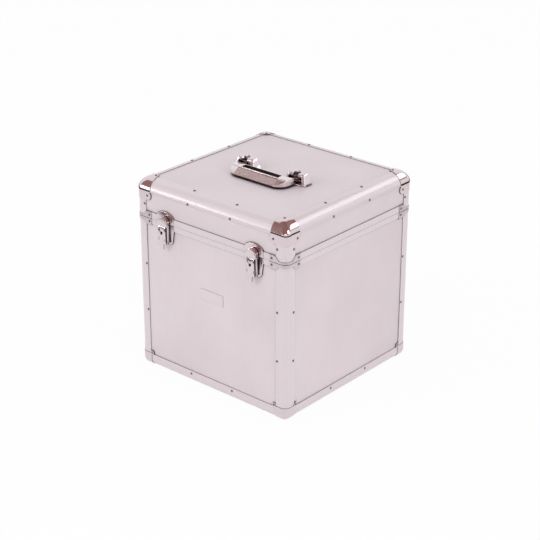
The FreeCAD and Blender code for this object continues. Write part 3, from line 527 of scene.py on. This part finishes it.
@dataclass(frozen=True)
class MouldedPlastic:
    """Black moulded ABS with a spark-eroded grain that dulls its highlights."""

    name: str = "black_abs"
    color: str = "14080C"
    roughness: float = 0.7
    specular: float = 0.06
    grain_mm: float = 0.5

    def build(self) -> Material:
        """Builds the material."""
        material, tree = new_material(self.name)
        grain = add_noise(tree, add_place(tree), 1 / (self.grain_mm * MM), detail=3.0)
        rough = add_range(tree, grain, target=(self.roughness - 0.06, self.roughness + 0.1))
        add_surface(tree, {
            "Base Color": linear(self.color), "Roughness": rough,
            "Normal": add_bump(tree, grain, strength=0.25, distance_mm=0.1),
            "Specular IOR Level": self.specular})
        return material


@dataclass(frozen=True)
class FeltedFoam:
    """Black foam sheet with a felted face: matt, with a short nap that catches grazing light."""

    name: str = "felted_foam"
    color: str = "1B1B1E"
    fleck: str = "2A2A2E"
    roughness: float = 0.92
    sheen: float = 0.35
    nap_mm: float = 0.9

    def build(self) -> Material:
        """Builds the material."""
        material, tree = new_material(self.name)
        nap = add_noise(
            tree, add_place(tree), 1 / (self.nap_mm * MM), detail=5.0, roughness=0.75)
        tone = add_ramp(tree, nap, low=0.35, high=0.7, colors=(self.color, self.fleck))
        add_surface(tree, {
            "Base Color": tone, "Roughness": self.roughness, "Sheen Weight": self.sheen,
            "Normal": add_bump(tree, nap, strength=0.6, distance_mm=0.4)})
        return material


@dataclass(frozen=True)
class BadgeSheet:
    """Thin satin aluminium sheet, brushed along its length, with nothing printed on it."""

    name: str = "badge_sheet"
    color: str = "E6DADF"
    shade: str = "DFD2D8"
    roughness: float = 0.4
    metallic: float = 0.1
    brush_mm: float = 0.5
    brush_stretch: float = 40.0

    def build(self) -> Material:
        """Builds the material."""
        material, tree = new_material(self.name)
        fine = 1 / (self.brush_mm * MM)
        stretched = add_place(tree, (fine / self.brush_stretch, fine, fine))
        brushed = add_noise(tree, stretched, scale=1.0, detail=3.0)
        tone = add_ramp(tree, brushed, low=0.3, high=0.7, colors=(self.shade, self.color))
        add_surface(tree, {
            "Base Color": tone, "Metallic": self.metallic, "Roughness": self.roughness})
        return material


@dataclass
class FinishShelf:
    """Every finish of the case, built once and handed out by name."""

    # each finish's joint shade paints shade into its recesses: the latches' gaps, the hoods'
    # mouths, the rivets' feet
    laminate: Material = field(default_factory=Laminate().build)
    chrome: Material = field(default_factory=PlatedSteel(
        "polished_chrome", "DACBCF", 0.07, JointShade(reach_mm=2.0)).build)
    latch_chrome: Material = field(default_factory=PlatedSteel(
        "latch_chrome", "DDD0D4", 0.16, JointShade(reach_mm=4.0, full=0.15, none=0.6)).build)
    handle_chrome: Material = field(default_factory=PlatedSteel(
        "handle_chrome", "DDD3DA", 0.3, JointShade(reach_mm=9.0, full=0.25, none=0.5)).build)
    grip_chrome: Material = field(default_factory=KnurledChrome(
        "knurled_chrome", "E4D9DB", 0.16, JointShade(reach_mm=2.5, full=0.25, none=0.75)).build)
    brushed_chrome: Material = field(default_factory=PlatedSteel(
        "brushed_chrome", "DBCED4", 0.3).build)
    sheared_steel: Material = field(default_factory=PlatedSteel(
        "sheared_steel", "3B3033", 0.3, JointShade(reach_mm=2.0)).build)
    nickel: Material = field(default_factory=PlatedSteel(
        "nickel_plate", "8F7F7D", 0.22, JointShade(reach_mm=1.5, full=0.35, none=0.9)).build)
    dark_steel: Material = field(default_factory=PlatedSteel(
        "blackened_steel", "1C1A1B", 0.4).build)
    plastic: Material = field(default_factory=MouldedPlastic().build)
    foam: Material = field(default_factory=FeltedFoam().build)
    badge: Material = field(default_factory=BadgeSheet().build)
    extrusions: dict[Axis, Material] = field(
        default_factory=lambda: {axis: AnodisedAluminium(axis).build() for axis in Axis})


@dataclass
class Frame:
    """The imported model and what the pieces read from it."""

    nodes: dict[str, Object]
    record: dict[str, object]

    def body_of(self, node: str) -> str:
        """Returns the body that a node moves with."""
        return str(self.nodes[node]["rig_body"])

    def slot_of(self, node: str) -> str:
        """Returns the material slot that the record gives a node."""
        for entry in self.record["subparts"]:
            if entry["node"] == node:
                return entry["material_slot"]
        raise KeyError(node)


@dataclass
class RoundedBlock:
    """The rounded box that the edge extrusions and corner covers follow.

    The lid's upper edge is rounded more generously than the others.

    Attributes:
        low: The box's lowest corner.
        high: Its highest corner.
        radius: The round of its edges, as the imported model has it.
        top_radius: The round of the lid's upper edge in the finished pieces.
        skin: The least thickness over the plain core that counts as the surface.
        slack: How near to the edge of a zone still counts as outside it.
        rounds: How often a moved point is brought nearer to its goal.
        step: The share of the way that it goes each time.
    """

    low: Vector
    high: Vector
    radius: float = 12 * MM
    top_radius: float = 21.5 * MM
    skin: float = 1 * MM
    slack: float = 1e-7
    rounds: int = 8
    step: float = 0.8

    def inset(self, point: Vector) -> tuple[float, Vector]:
        """Measures how far a point lies inside the box's plan outline.

        Args:
            point: The point.

        Returns:
            The inset in metres and the outline's outward normal there.
        """
        side = Vector((1 if point.x >= 0 else -1, 1 if point.y >= 0 else -1, 0))
        depth_x, depth_y = self.high.x - abs(point.x), self.high.y - abs(point.y)
        skew = depth_x - depth_y
        if skew <= -self.radius:
            return depth_x, Vector((side.x, 0, 0))
        if skew >= self.radius:
            return depth_y, Vector((0, side.y, 0))
        total = depth_x + depth_y - 2 * self.radius
        inset = (total + math.sqrt(2 * self.radius ** 2 - skew ** 2)) / 2
        normal = Vector((
            side.x * (self.radius - depth_x + inset), side.y * (self.radius - depth_y + inset), 0))
        return inset, normal.normalized()

    def on_top_round(self, point: Vector) -> bool:
        """Tells whether a point lies in the zone of the generous upper round."""
        reach = self.top_radius - self.slack
        return self.high.z - point.z < reach and self.inset(point)[0] < reach

    def softened(self, point: Vector) -> Vector:
        """Moves a point from the plain round to the generous one, as deep below it as before.

        Args:
            point: A point of a piece that follows the upper edge.

        Returns:
            The moved point.
        """
        _, length = self.plain_outward(point)
        if not self.on_top_round(point) or length < self.skin:
            return point.copy()
        inset, normal = self.inset(point)
        drop = self.high.z - point.z
        across, up = self.top_radius - inset, self.top_radius - drop
        scale = (self.top_radius - self.radius + length) / math.hypot(across, up)
        goal = self.top_radius - across * scale
        moved = point.copy()
        moved.z = self.high.z - self.top_radius + up * scale
        for _ in range(self.rounds):
            moved -= normal * (goal - self.inset(moved)[0]) * self.step
        return moved

    def outward(self, point: Vector, softened: bool = False) -> tuple[Vector, float]:
        """Finds the direction from the box's core to a point, and its height over the core.

        Args:
            point: A point on or near the box's surface.
            softened: Whether the upper edge has its generous round.

        Returns:
            The unit direction and the distance in metres.
        """
        if not softened or not self.on_top_round(point):
            return self.plain_outward(point)
        inset, normal = self.inset(point)
        across, up = self.top_radius - inset, self.top_radius - (self.high.z - point.z)
        length = math.hypot(across, up)
        direction = (normal * across + Vector((0, 0, up))) / length
        return direction, length - self.top_radius + self.radius

    def plain_outward(self, point: Vector) -> tuple[Vector, float]:
        """Finds the direction and distance from the plain box's inner core to a point.

        Args:
            point: A point on or near the box's surface.

        Returns:
            The unit direction and the distance in metres.
        """
        core = Vector([
            min(max(value, low + self.radius), high - self.radius)
            for value, low, high in zip(point, self.low, self.high)
        ])
        offset = point - core
        length = offset.length
        return (offset / length if length > 0 else Vector((0, 0, 1))), length


def merged_copy(node: Object) -> BMesh:
    """Copies a node's mesh, merges its loose triangles and joins flat neighbours.

    Args:
        node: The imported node.

    Returns:
        The merged mesh, which the caller frees.
    """
    mesh = bmesh.new()
    mesh.from_mesh(node.data)
    bmesh.ops.remove_doubles(mesh, verts=mesh.verts, dist=WELD)
    bmesh.ops.dissolve_limit(
        mesh, angle_limit=math.radians(FLAT_DEG), verts=mesh.verts, edges=mesh.edges,
        delimit={"NORMAL"})
    return mesh


def soften_top(mesh: BMesh, block: RoundedBlock) -> None:
    """Gives a copied piece the generous upper round.

    The copy is cut where the round turns, closer together near the faces, and then moved.

    Args:
        mesh: The copy.
        block: The box that the piece follows.
    """
    shares = (0.06, 0.14, 0.24, 0.35, 0.47, 0.6, 0.72, 0.85, 1.0)
    steps = [block.top_radius * share for share in shares]
    cuts = [(Vector((0, 0, block.high.z - step)), Vector((0, 0, 1))) for step in steps]
    for sign in (-1, 1):
        for step in steps:
            cuts.append((Vector((sign * (block.high.x - step), 0, 0)), Vector((1, 0, 0))))
        for step in steps:
            cuts.append((Vector((0, sign * (block.high.y - step), 0)), Vector((0, 1, 0))))
    for place, normal in cuts:
        bmesh.ops.bisect_plane(
            mesh, geom=mesh.verts[:] + mesh.edges[:] + mesh.faces[:], dist=0.01 * MM,
            plane_co=place, plane_no=normal)
    for vert in mesh.verts:
        vert.co = block.softened(vert.co)
    bmesh.ops.triangulate(mesh, faces=mesh.faces)
    bmesh.ops.recalc_face_normals(mesh, faces=mesh.faces)


def loose_parts(mesh: BMesh) -> list[list[BMVert]]:
    """Sorts a mesh's vertices into groups that no edge joins.

    Args:
        mesh: The mesh.

    Returns:
        One list of vertices for each loose part.
    """
    unseen = set(mesh.verts)
    parts = []
    while unseen:
        stack = [unseen.pop()]
        part = list(stack)
        while stack:
            for edge in stack.pop().link_edges:
                near = unseen.intersection(edge.verts)
                unseen -= near
                stack += near
                part += near
        parts.append(part)
    return parts


def finish_piece(
    mesh: BMesh, name: str, material: Material, smooth: bool = True
) -> Object:
    """Turns a bmesh into an object at the origin with one material.

    Args:
        mesh: The finished bmesh, which is freed here.
        name: The new object's name.
        material: Its only material.
        smooth: Whether its faces are shaded smooth.

    Returns:
        The new object.
    """
    data = bpy.data.meshes.new(name)
    for face in mesh.faces:
        face.smooth = smooth
        face.material_index = 0
    mesh.to_mesh(data)
    mesh.free()
    data.materials.append(material)
    piece = bpy.data.objects.new(name, data)
    bpy.context.scene.collection.objects.link(piece)
    return piece


@dataclass
class Dresser:
    """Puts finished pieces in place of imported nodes.

    Attributes:
        frame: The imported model.
        finishes: The finishes to choose from.
        block: The rounded box that the edges follow.
        sharp_deg: Edges that turn by more than this are rounded.
        bevel_steps: The number of steps round each rounded edge.
        core_share: The share of the block's radius outside which a normal follows the round.
        facing: How closely a face has to look outward for that.
        sideways: How closely a face has to look left or right to count as a sheared side.
    """

    frame: Frame
    finishes: FinishShelf
    block: RoundedBlock
    sharp_deg: float = 28.0
    bevel_steps: int = 2
    core_share: float = 0.8
    facing: float = 0.9
    sideways: float = 0.8

    def stand_for(self, piece: Object, node: str) -> Object:
        """Makes a piece ride with a node's body and replace the node.

        Args:
            piece: The finished piece.
            node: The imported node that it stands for.

        Returns:
            The same piece.
        """
        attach(piece, self.frame.body_of(node))
        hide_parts(node)
        self.frame.slot_of(node)
        LOG.info("%s replaces %s", piece.name, node)
        return piece

    def copy_of(self, node: str, softened: bool) -> BMesh:
        """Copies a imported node's mesh for a finished piece.

        Args:
            node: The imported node.
            softened: Whether the piece takes the lid's generous upper round.

        Returns:
            The copy.
        """
        mesh = merged_copy(self.frame.nodes[node])
        if softened:
            soften_top(mesh, self.block)
        return mesh

    def rounded(
        self, node: str, material: Material, width_mm: float, softened: bool = False
    ) -> Object:
        """Replaces a node with a copy whose sharp edges have a live bevel.

        Args:
            node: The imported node.
            material: The piece's finish.
            width_mm: The width of the edge rounding.
            softened: Whether the piece reaches under the lid's generous upper round.

        Returns:
            The new piece.
        """
        piece = finish_piece(self.copy_of(node, softened), f"{node}_finished", material)
        bevel = piece.modifiers.new("edge_round", "BEVEL")
        bevel.width = width_mm * MM
        bevel.segments = self.bevel_steps
        bevel.limit_method = "ANGLE"
        bevel.angle_limit = math.radians(self.sharp_deg)
        bevel.harden_normals = True
        return self.stand_for(piece, node)

    def skin(self, node: str, material: Material, softened: bool = False) -> Object:
        """Replaces a node that follows the rounded box, with true normals on its rounds.

        Args:
            node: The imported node.
            material: The piece's finish.
            softened: Whether the piece takes the lid's generous upper round.

        Returns:
            The new piece.
        """
        mesh = self.copy_of(node, softened)
        bmesh.ops.triangulate(mesh, faces=mesh.faces)
        piece = finish_piece(mesh, f"{node}_finished", material)
        data = piece.data
        inner = self.core_share * self.block.radius
        normals = []
        for polygon in data.polygons:
            flat = polygon.normal
            for index in polygon.vertices:
                outward, distance = self.block.outward(data.vertices[index].co, softened)
                along = flat.dot(outward)
                follows = distance > inner and abs(along) > self.facing
                true = outward if along > 0 else -outward
                normals.append(tuple(true if follows else flat))
        data.normals_split_custom_set(normals)
        return self.stand_for(piece, node)

    def darken_sheared_sides(self, piece: Object) -> None:
        """Paints shade on the sheared left and right sides of a pressed piece, as a dark finish of
        their own.

        Args:
            piece: The pressed piece.
        """
        piece.data.materials.append(self.finishes.sheared_steel)
        # the dark steel on the sides is painted shade
        for polygon in piece.data.polygons:
            if abs(polygon.normal.x) > self.sideways:
                polygon.material_index = 1

    def recolored(self, node: str, material: Material) -> None:
        """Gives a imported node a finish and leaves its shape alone.

        Args:
            node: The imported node.
            material: The finish.
        """
        data = self.frame.nodes[node].data
        data.materials.clear()
        data.materials.append(material)
        LOG.info("%s keeps its own shape", node)


@dataclass
class RivetHeads:
    """Domed rivet heads, one for each head of a packed group.

    The profile goes from the foot of the rim to the crown, in shares of the radius and height.
    """

    dresser: Dresser
    radius: float = 2.35 * MM
    height: float = 1.0 * MM
    steps: int = 20
    profile: tuple[tuple[float, float], ...] = (
        (1.0, 0.0), (1.0, 0.18), (0.92, 0.42), (0.74, 0.7), (0.48, 0.9), (0.22, 0.985), (0.0, 1.0),
    )

    def dome(self) -> Mesh:
        """Spins one head about Z, standing on the origin with a small turned-down rim."""
        mesh = bmesh.new()
        verts = [
            mesh.verts.new((across * self.radius, 0, up * self.height))
            for across, up in self.profile
        ]
        edges = [mesh.edges.new(pair) for pair in zip(verts, verts[1:])]
        bmesh.ops.spin(
            mesh, geom=verts + edges, cent=(0, 0, 0), axis=(0, 0, 1), angle=math.tau,
            steps=self.steps, use_merge=True)
        bmesh.ops.remove_doubles(mesh, verts=mesh.verts, dist=WELD / 2)
        rim = [edge for edge in mesh.edges if edge.is_boundary]
        bmesh.ops.holes_fill(mesh, edges=rim, sides=0)
        bmesh.ops.recalc_face_normals(mesh, faces=mesh.faces)
        data = bpy.data.meshes.new("rivet_pattern")
        mesh.to_mesh(data)
        mesh.free()
        return data

    def place_of(self, head: list[BMVert]) -> Matrix:
        """Works out where one packed head stands and which way it faces.

        Args:
            head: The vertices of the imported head.

        Returns:
            The matrix from the dome's own frame to the case's.
        """
        block = self.dresser.block
        low = Vector([min(vert.co[i] for vert in head) for i in range(3)])
        high = Vector([max(vert.co[i] for vert in head) for i in range(3)])
        span = high - low
        axis = min(range(3), key=lambda i: span[i])
        foot = (low + high) / 2
        sign = 1 if foot[axis] > (block.low[axis] + block.high[axis]) / 2 else -1
        outward = Vector([sign if i == axis else 0 for i in range(3)])
        foot[axis] = low[axis] if sign > 0 else high[axis]
        turn = outward.to_track_quat("Z", "Y").to_matrix().to_4x4()
        return Matrix.Translation(block.softened(foot)) @ turn

    def places(self, node: str) -> list[Matrix]:
        """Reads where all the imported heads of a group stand.

        Args:
            node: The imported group.

        Returns:
            One matrix for each head, in the order of their places.
        """
        mesh = bmesh.new()
        mesh.from_mesh(self.dresser.frame.nodes[node].data)
        bmesh.ops.remove_doubles(mesh, verts=mesh.verts, dist=WELD)
        found = [self.place_of(head) for head in loose_parts(mesh)]
        mesh.free()
        return sorted(found, key=lambda place: tuple(place.translation))

    def build(self, node: str) -> Object:
        """Builds the heads of one group as one piece.

        Args:
            node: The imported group.

        Returns:
            The new piece.
        """
        pattern = self.dome()
        joined = bmesh.new()
        for place in self.places(node):
            before = len(joined.verts)
            joined.from_mesh(pattern)
            joined.verts.ensure_lookup_table()
            bmesh.ops.transform(joined, matrix=place, verts=joined.verts[before:])
        bpy.data.meshes.remove(pattern)
        piece = finish_piece(joined, f"{node}_domed", self.dresser.finishes.nickel)
        return self.dresser.stand_for(piece, node)


@dataclass
class Assembly:
    """A group of pieces that are dressed together."""

    dresser: Dresser

    def build(self) -> None:
        """Dresses every piece of the group."""
        raise NotImplementedError


class Box(Assembly):
    """Panels, linings and edge extrusions of the base and the lid."""

    def build(self) -> None:
        """Dresses every flat board and every extrusion."""
        shelf = self.dresser.finishes
        boards = {"base": "floor_panel", "lid": "top_panel"}
        for half, flat_board in boards.items():
            for board in ("front_wall", "back_wall", "left_wall", "right_wall", flat_board):
                self.dresser.rounded(
                    f"{half}_{board}", shelf.laminate, width_mm=0.15, softened=half == "lid")
        for half in boards:
            self.dresser.rounded(f"{half}_lining", shelf.foam, width_mm=0.8)
        for corner in CORNERS:
            self.dresser.skin(f"base_post_{corner}", shelf.extrusions[Axis.Z])
        self.dresser.skin("lid_posts", shelf.extrusions[Axis.Z], softened=True)
        for side, axis in (
            ("front", Axis.X), ("back", Axis.X), ("left", Axis.Y), ("right", Axis.Y),
        ):
            self.dresser.skin(f"bottom_edge_{side}", shelf.extrusions[axis])
            self.dresser.skin(f"top_edge_{side}", shelf.extrusions[axis], softened=True)
        for half in boards:
            self.dresser.skin(f"{half}_rim", shelf.extrusions[Axis.X])


class CornerCovers(Assembly):
    """Pressed covers on the corners and round the seam."""

    def build(self) -> None:
        """Dresses the covers and their rivets."""
        shelf = self.dresser.finishes
        for corner in CORNERS:
            self.dresser.skin(f"lid_corner_{corner}", shelf.chrome, softened=True)
        for node in ("bottom_corners", "lid_rim_brackets", "base_rim_brackets"):
            self.dresser.skin(node, shelf.brushed_chrome)
        rivets = RivetHeads(self.dresser)
        rivets.build("base_rivets")
        rivets.build("lid_rivets")


class Latches(Assembly):
    """Both draw latches with their locks and pins."""

    def build(self) -> None:
        """Dresses each piece of the latches."""
        shelf = self.dresser.finishes
        for side in ("left", "right"):
            for name in ("base_plate", "lever"):
                pressed = self.dresser.rounded(
                    f"latch_{name}_{side}", shelf.latch_chrome, width_mm=0.35)
                self.dresser.darken_sheared_sides(pressed)
            self.dresser.rounded(f"latch_claw_{side}", shelf.latch_chrome, width_mm=0.45)
            self.dresser.rounded(f"lock_cylinder_{side}", shelf.dark_steel, width_mm=0.12)
            self.dresser.recolored(f"claw_pin_{side}", shelf.nickel)
        keepers = self.dresser.rounded("latch_keeper_plates", shelf.latch_chrome, width_mm=0.35)
        self.dresser.darken_sheared_sides(keepers)
        self.dresser.recolored("latch_pivot_pins", shelf.nickel)


class Hinges(Assembly):
    """Butt hinges at the back."""

    def build(self) -> None:
        """Dresses the leaves and pins."""
        shelf = self.dresser.finishes
        self.dresser.rounded("base_hinge_leaves", shelf.brushed_chrome, width_mm=0.3)
        self.dresser.rounded("lid_hinge_leaves", shelf.brushed_chrome, width_mm=0.3)
        self.dresser.recolored("hinge_pins", shelf.nickel)


class Handle(Assembly):
    """Folding handle: two hoods, pins, the grip and its insert."""

    def build(self) -> None:
        """Dresses each piece of the handle."""
        shelf = self.dresser.finishes
        self.dresser.rounded("handle_grip", shelf.grip_chrome, width_mm=1.0)
        self.dresser.rounded("grip_insert", shelf.plastic, width_mm=0.8)
        for side in ("left", "right"):
            self.dresser.rounded(f"handle_bracket_{side}", shelf.handle_chrome, width_mm=0.6)
        self.dresser.recolored("handle_pins", shelf.nickel)


class Badge(Assembly):
    """The blank plate on the front."""

    def build(self) -> None:
        """Dresses the plate."""
        self.dresser.rounded("badge_plate", self.dresser.finishes.badge, width_mm=0.3)


def direction(azimuth_deg: float, elevation_deg: float) -> Vector:
    """Turns two angles into a direction from the case.

    Args:
        azimuth_deg: The angle from -Y towards +X.
        elevation_deg: The angle above the ground.

    Returns:
        The unit direction.
    """
    azimuth, elevation = math.radians(azimuth_deg), math.radians(elevation_deg)
    return Vector((
        math.sin(azimuth) * math.cos(elevation),
        -math.cos(azimuth) * math.cos(elevation),
        math.sin(elevation),
    ))


@dataclass(frozen=True)
class Lamp:
    """A square soft lamp, aimed at the case."""

    name: str
    place: tuple[float, float, float]
    power_watt: float
    side: float = 1.6


@dataclass(frozen=True)
class Card:
    """A glowing card that only reflections see, facing the case: a painted reflection.

    Its direction is measured as the camera's is, and its width and height are the angles that
    it covers, seen from the case. A strength of 1 makes it as bright as white paper.
    """

    name: str
    azimuth_deg: float
    elevation_deg: float
    width_deg: float
    height_deg: float
    color: str = "FFFFFF"
    strength: float = 1.0
    distance: float = 2.4


@dataclass
class Studio:
    """White floor and surroundings, soft lamps, and the camera of the photograph.

    Painted reflections: cards that glow for reflections alone stand for a brown room behind
    the set, two windows and two softboxes, and a dark ring for the edge of the set.
    """

    azimuth_deg: float = 41.055
    elevation_deg: float = 24.481
    place: tuple[float, float, float] = (1.6464, -1.9035, 1.3236)
    lens_mm: float = 101.97
    sensor_mm: float = 36.0
    view_end: float = 200.0
    floor_size: float = 60.0
    floor_glow: float = 0.95
    paper: float = 0.9
    surround: float = 0.78
    lamp_aim: float = 0.2
    card_aim: float = 0.25
    ring_radius: float = 1.15
    ring_height: float = 0.2
    ring_color: str = "352D2B"
    lamps: tuple[Lamp, ...] = (
        Lamp("key_lamp", (-1.5, -3.0, 1.9), 25.0),
        Lamp("fill_lamp", (3.3, -0.3, 1.5), 20.0),
    )
    cards: tuple[Card, ...] = (
        Card("room_behind_camera", 41, 54, 120, 118, "9A7770", distance=6.0),
        Card("room_left", -35, 37, 44, 82, "A0807A", distance=2.6),
        Card("room_right", 136, 46, 70, 60, "A98A83", distance=6.5),
        Card("window_left", 33, 6, 5, 10, strength=4.0),
        Card("window_right", 50, 6, 5, 10, strength=4.0),
        Card("front_left_softbox", -43, 4, 16, 12, strength=7.0),
        Card("back_right_softbox", 146, 33, 40, 20, strength=3.0),
    )

    def add_camera(self) -> None:
        """Adds the camera at the photograph's viewpoint."""
        data = bpy.data.cameras.new("photo_camera")
        data.lens = self.lens_mm
        data.sensor_width = self.sensor_mm
        data.clip_end = self.view_end
        camera = bpy.data.objects.new("photo_camera", data)
        camera.location = self.place
        camera.rotation_mode = "QUATERNION"
        back = direction(self.azimuth_deg, self.elevation_deg)
        camera.rotation_quaternion = (-back).to_track_quat("-Z", "Y")
        bpy.context.scene.collection.objects.link(camera)
        bpy.context.scene.camera = camera

    def seen_by_eye_or_gloss(self, tree: NodeTree) -> NodeSocket:
        """Adds a switch that is 1 for camera, glossy and transmitted rays.

        Args:
            tree: The node tree to add to.

        Returns:
            The socket with the switch's value.
        """
        path = add_node(tree, "ShaderNodeLightPath").outputs
        first = add_math(tree, "MAXIMUM", path["Is Camera Ray"], path["Is Glossy Ray"])
        return add_math(tree, "MAXIMUM", first, path["Is Transmission Ray"])

    def add_surroundings(self) -> None:
        """Adds white surroundings that light the case evenly."""
        world = bpy.data.worlds.new("white_studio")
        world.use_nodes = True
        tree = world.node_tree
        tree.nodes.clear()
        seen = self.seen_by_eye_or_gloss(tree)
        light = add_node(tree, "ShaderNodeBackground", inputs={
            "Color": (1, 1, 1, 1), "Strength": add_range(tree, seen, target=(self.surround, 1.0))})
        add_node(tree, "ShaderNodeOutputWorld", inputs={"Surface": light.outputs[0]})
        bpy.context.scene.world = world

    def add_floor(self) -> None:
        """Adds a white floor that still shows the case's soft shadow."""
        mesh = bmesh.new()
        bmesh.ops.create_grid(mesh, x_segments=1, y_segments=1, size=self.floor_size / 2)
        material, tree = new_material("white_paper")
        share = add_math(tree, "MULTIPLY", self.seen_by_eye_or_gloss(tree), self.floor_glow)
        paper = add_node(tree, "ShaderNodeBsdfDiffuse", inputs={
            "Color": (self.paper, self.paper, self.paper, 1)})
        glow = add_node(tree, "ShaderNodeEmission", inputs={"Color": (1, 1, 1, 1), "Strength": 1.0})
        mix = add_node(tree, "ShaderNodeMixShader", inputs={
            0: share, 1: paper.outputs[0], 2: glow.outputs[0]})
        add_node(tree, "ShaderNodeOutputMaterial", inputs={"Surface": mix.outputs[0]})
        floor = finish_piece(mesh, "studio_floor", material, smooth=False)

    def add_card(self, card: Card) -> None:
        """Adds one card.

        Args:
            card: Its description.
        """
        out = direction(card.azimuth_deg, card.elevation_deg)
        middle = out * card.distance + Vector((0, 0, self.card_aim))
        turn = (-out).to_track_quat("Z", "Y").to_matrix().to_4x4()
        half_width, half_height = (
            card.distance * math.tan(math.radians(angle / 2))
            for angle in (card.width_deg, card.height_deg))
        shape = Matrix.Diagonal((half_width, half_height, 1, 1))
        mesh = bmesh.new()
        bmesh.ops.create_grid(
            mesh, x_segments=1, y_segments=1, size=1.0,
            matrix=Matrix.Translation(middle) @ turn @ shape)
        self.show_to_gloss(mesh, card.name, card.color, card.strength)

    def add_dark_ring(self) -> None:
        """Adds the ring that draws a black line low on the chrome, in reflections alone."""
        mesh = bmesh.new()
        bmesh.ops.create_cone(
            mesh, cap_ends=False, segments=64, radius1=self.ring_radius, radius2=self.ring_radius,
            depth=self.ring_height, matrix=Matrix.Translation((0, 0, self.ring_height / 2)))
        self.show_to_gloss(mesh, "dark_ring", self.ring_color, 1.0)

    def show_to_gloss(self, mesh: BMesh, name: str, color: str, strength: float) -> None:
        """Makes a mesh a glowing thing that only reflections see.

        Args:
            mesh: Its shape.
            name: Its name.
            color: Its sRGB hex colour.
            strength: Its brightness, where 1 is white.
        """
        material, tree = new_material(f"{name}_card")
        glow = add_node(tree, "ShaderNodeEmission", inputs={
            "Color": linear(color), "Strength": strength})
        add_node(tree, "ShaderNodeOutputMaterial", inputs={"Surface": glow.outputs[0]})
        shown = finish_piece(mesh, name, material, smooth=False)
        shown.visible_camera = False
        shown.visible_diffuse = False
        shown.visible_shadow = False
        shown.visible_transmission = False

    def add_lamp(self, lamp: Lamp) -> None:
        """Adds one lamp.

        Args:
            lamp: Its description.
        """
        data = bpy.data.lights.new(lamp.name, "AREA")
        data.shape = "SQUARE"
        data.size = lamp.side
        data.energy = lamp.power_watt
        placed = bpy.data.objects.new(lamp.name, data)
        placed.location = lamp.place
        placed.rotation_mode = "QUATERNION"
        beam = Vector((0, 0, self.lamp_aim)) - Vector(lamp.place)
        placed.rotation_quaternion = beam.to_track_quat("-Z", "Y")
        bpy.context.scene.collection.objects.link(placed)

    def build(self) -> None:
        """Builds the whole studio."""
        self.add_camera()
        self.add_surroundings()
        self.add_floor()
        for lamp in self.lamps:
            self.add_lamp(lamp)
        self.add_dark_ring()
        for card in self.cards:
            self.add_card(card)
        bpy.context.scene.view_settings.view_transform = "Standard"
        LOG.info("studio ready")


def main() -> None:
    """Loads the frame and builds every sub-assembly in order."""
    logging.basicConfig(level=logging.INFO, format="%(message)s")
    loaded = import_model()
    frame = Frame(loaded["nodes"], loaded["record"])
    post_low, post_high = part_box("base_post_front_left"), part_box("top_edge_back")
    floor_low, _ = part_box("bottom_edge_front")
    low = Vector((post_low[0].x, post_low[0].y, floor_low.z))
    high = Vector((-low.x, -low.y, post_high[1].z))
    dresser = Dresser(frame, FinishShelf(), RoundedBlock(low, high))
    for assembly in (Box, CornerCovers, Latches, Hinges, Handle, Badge):
        assembly(dresser).build()
        LOG.info("%s ready", assembly.__name__)
    Studio().build()


if __name__ == "__main__":
    main()
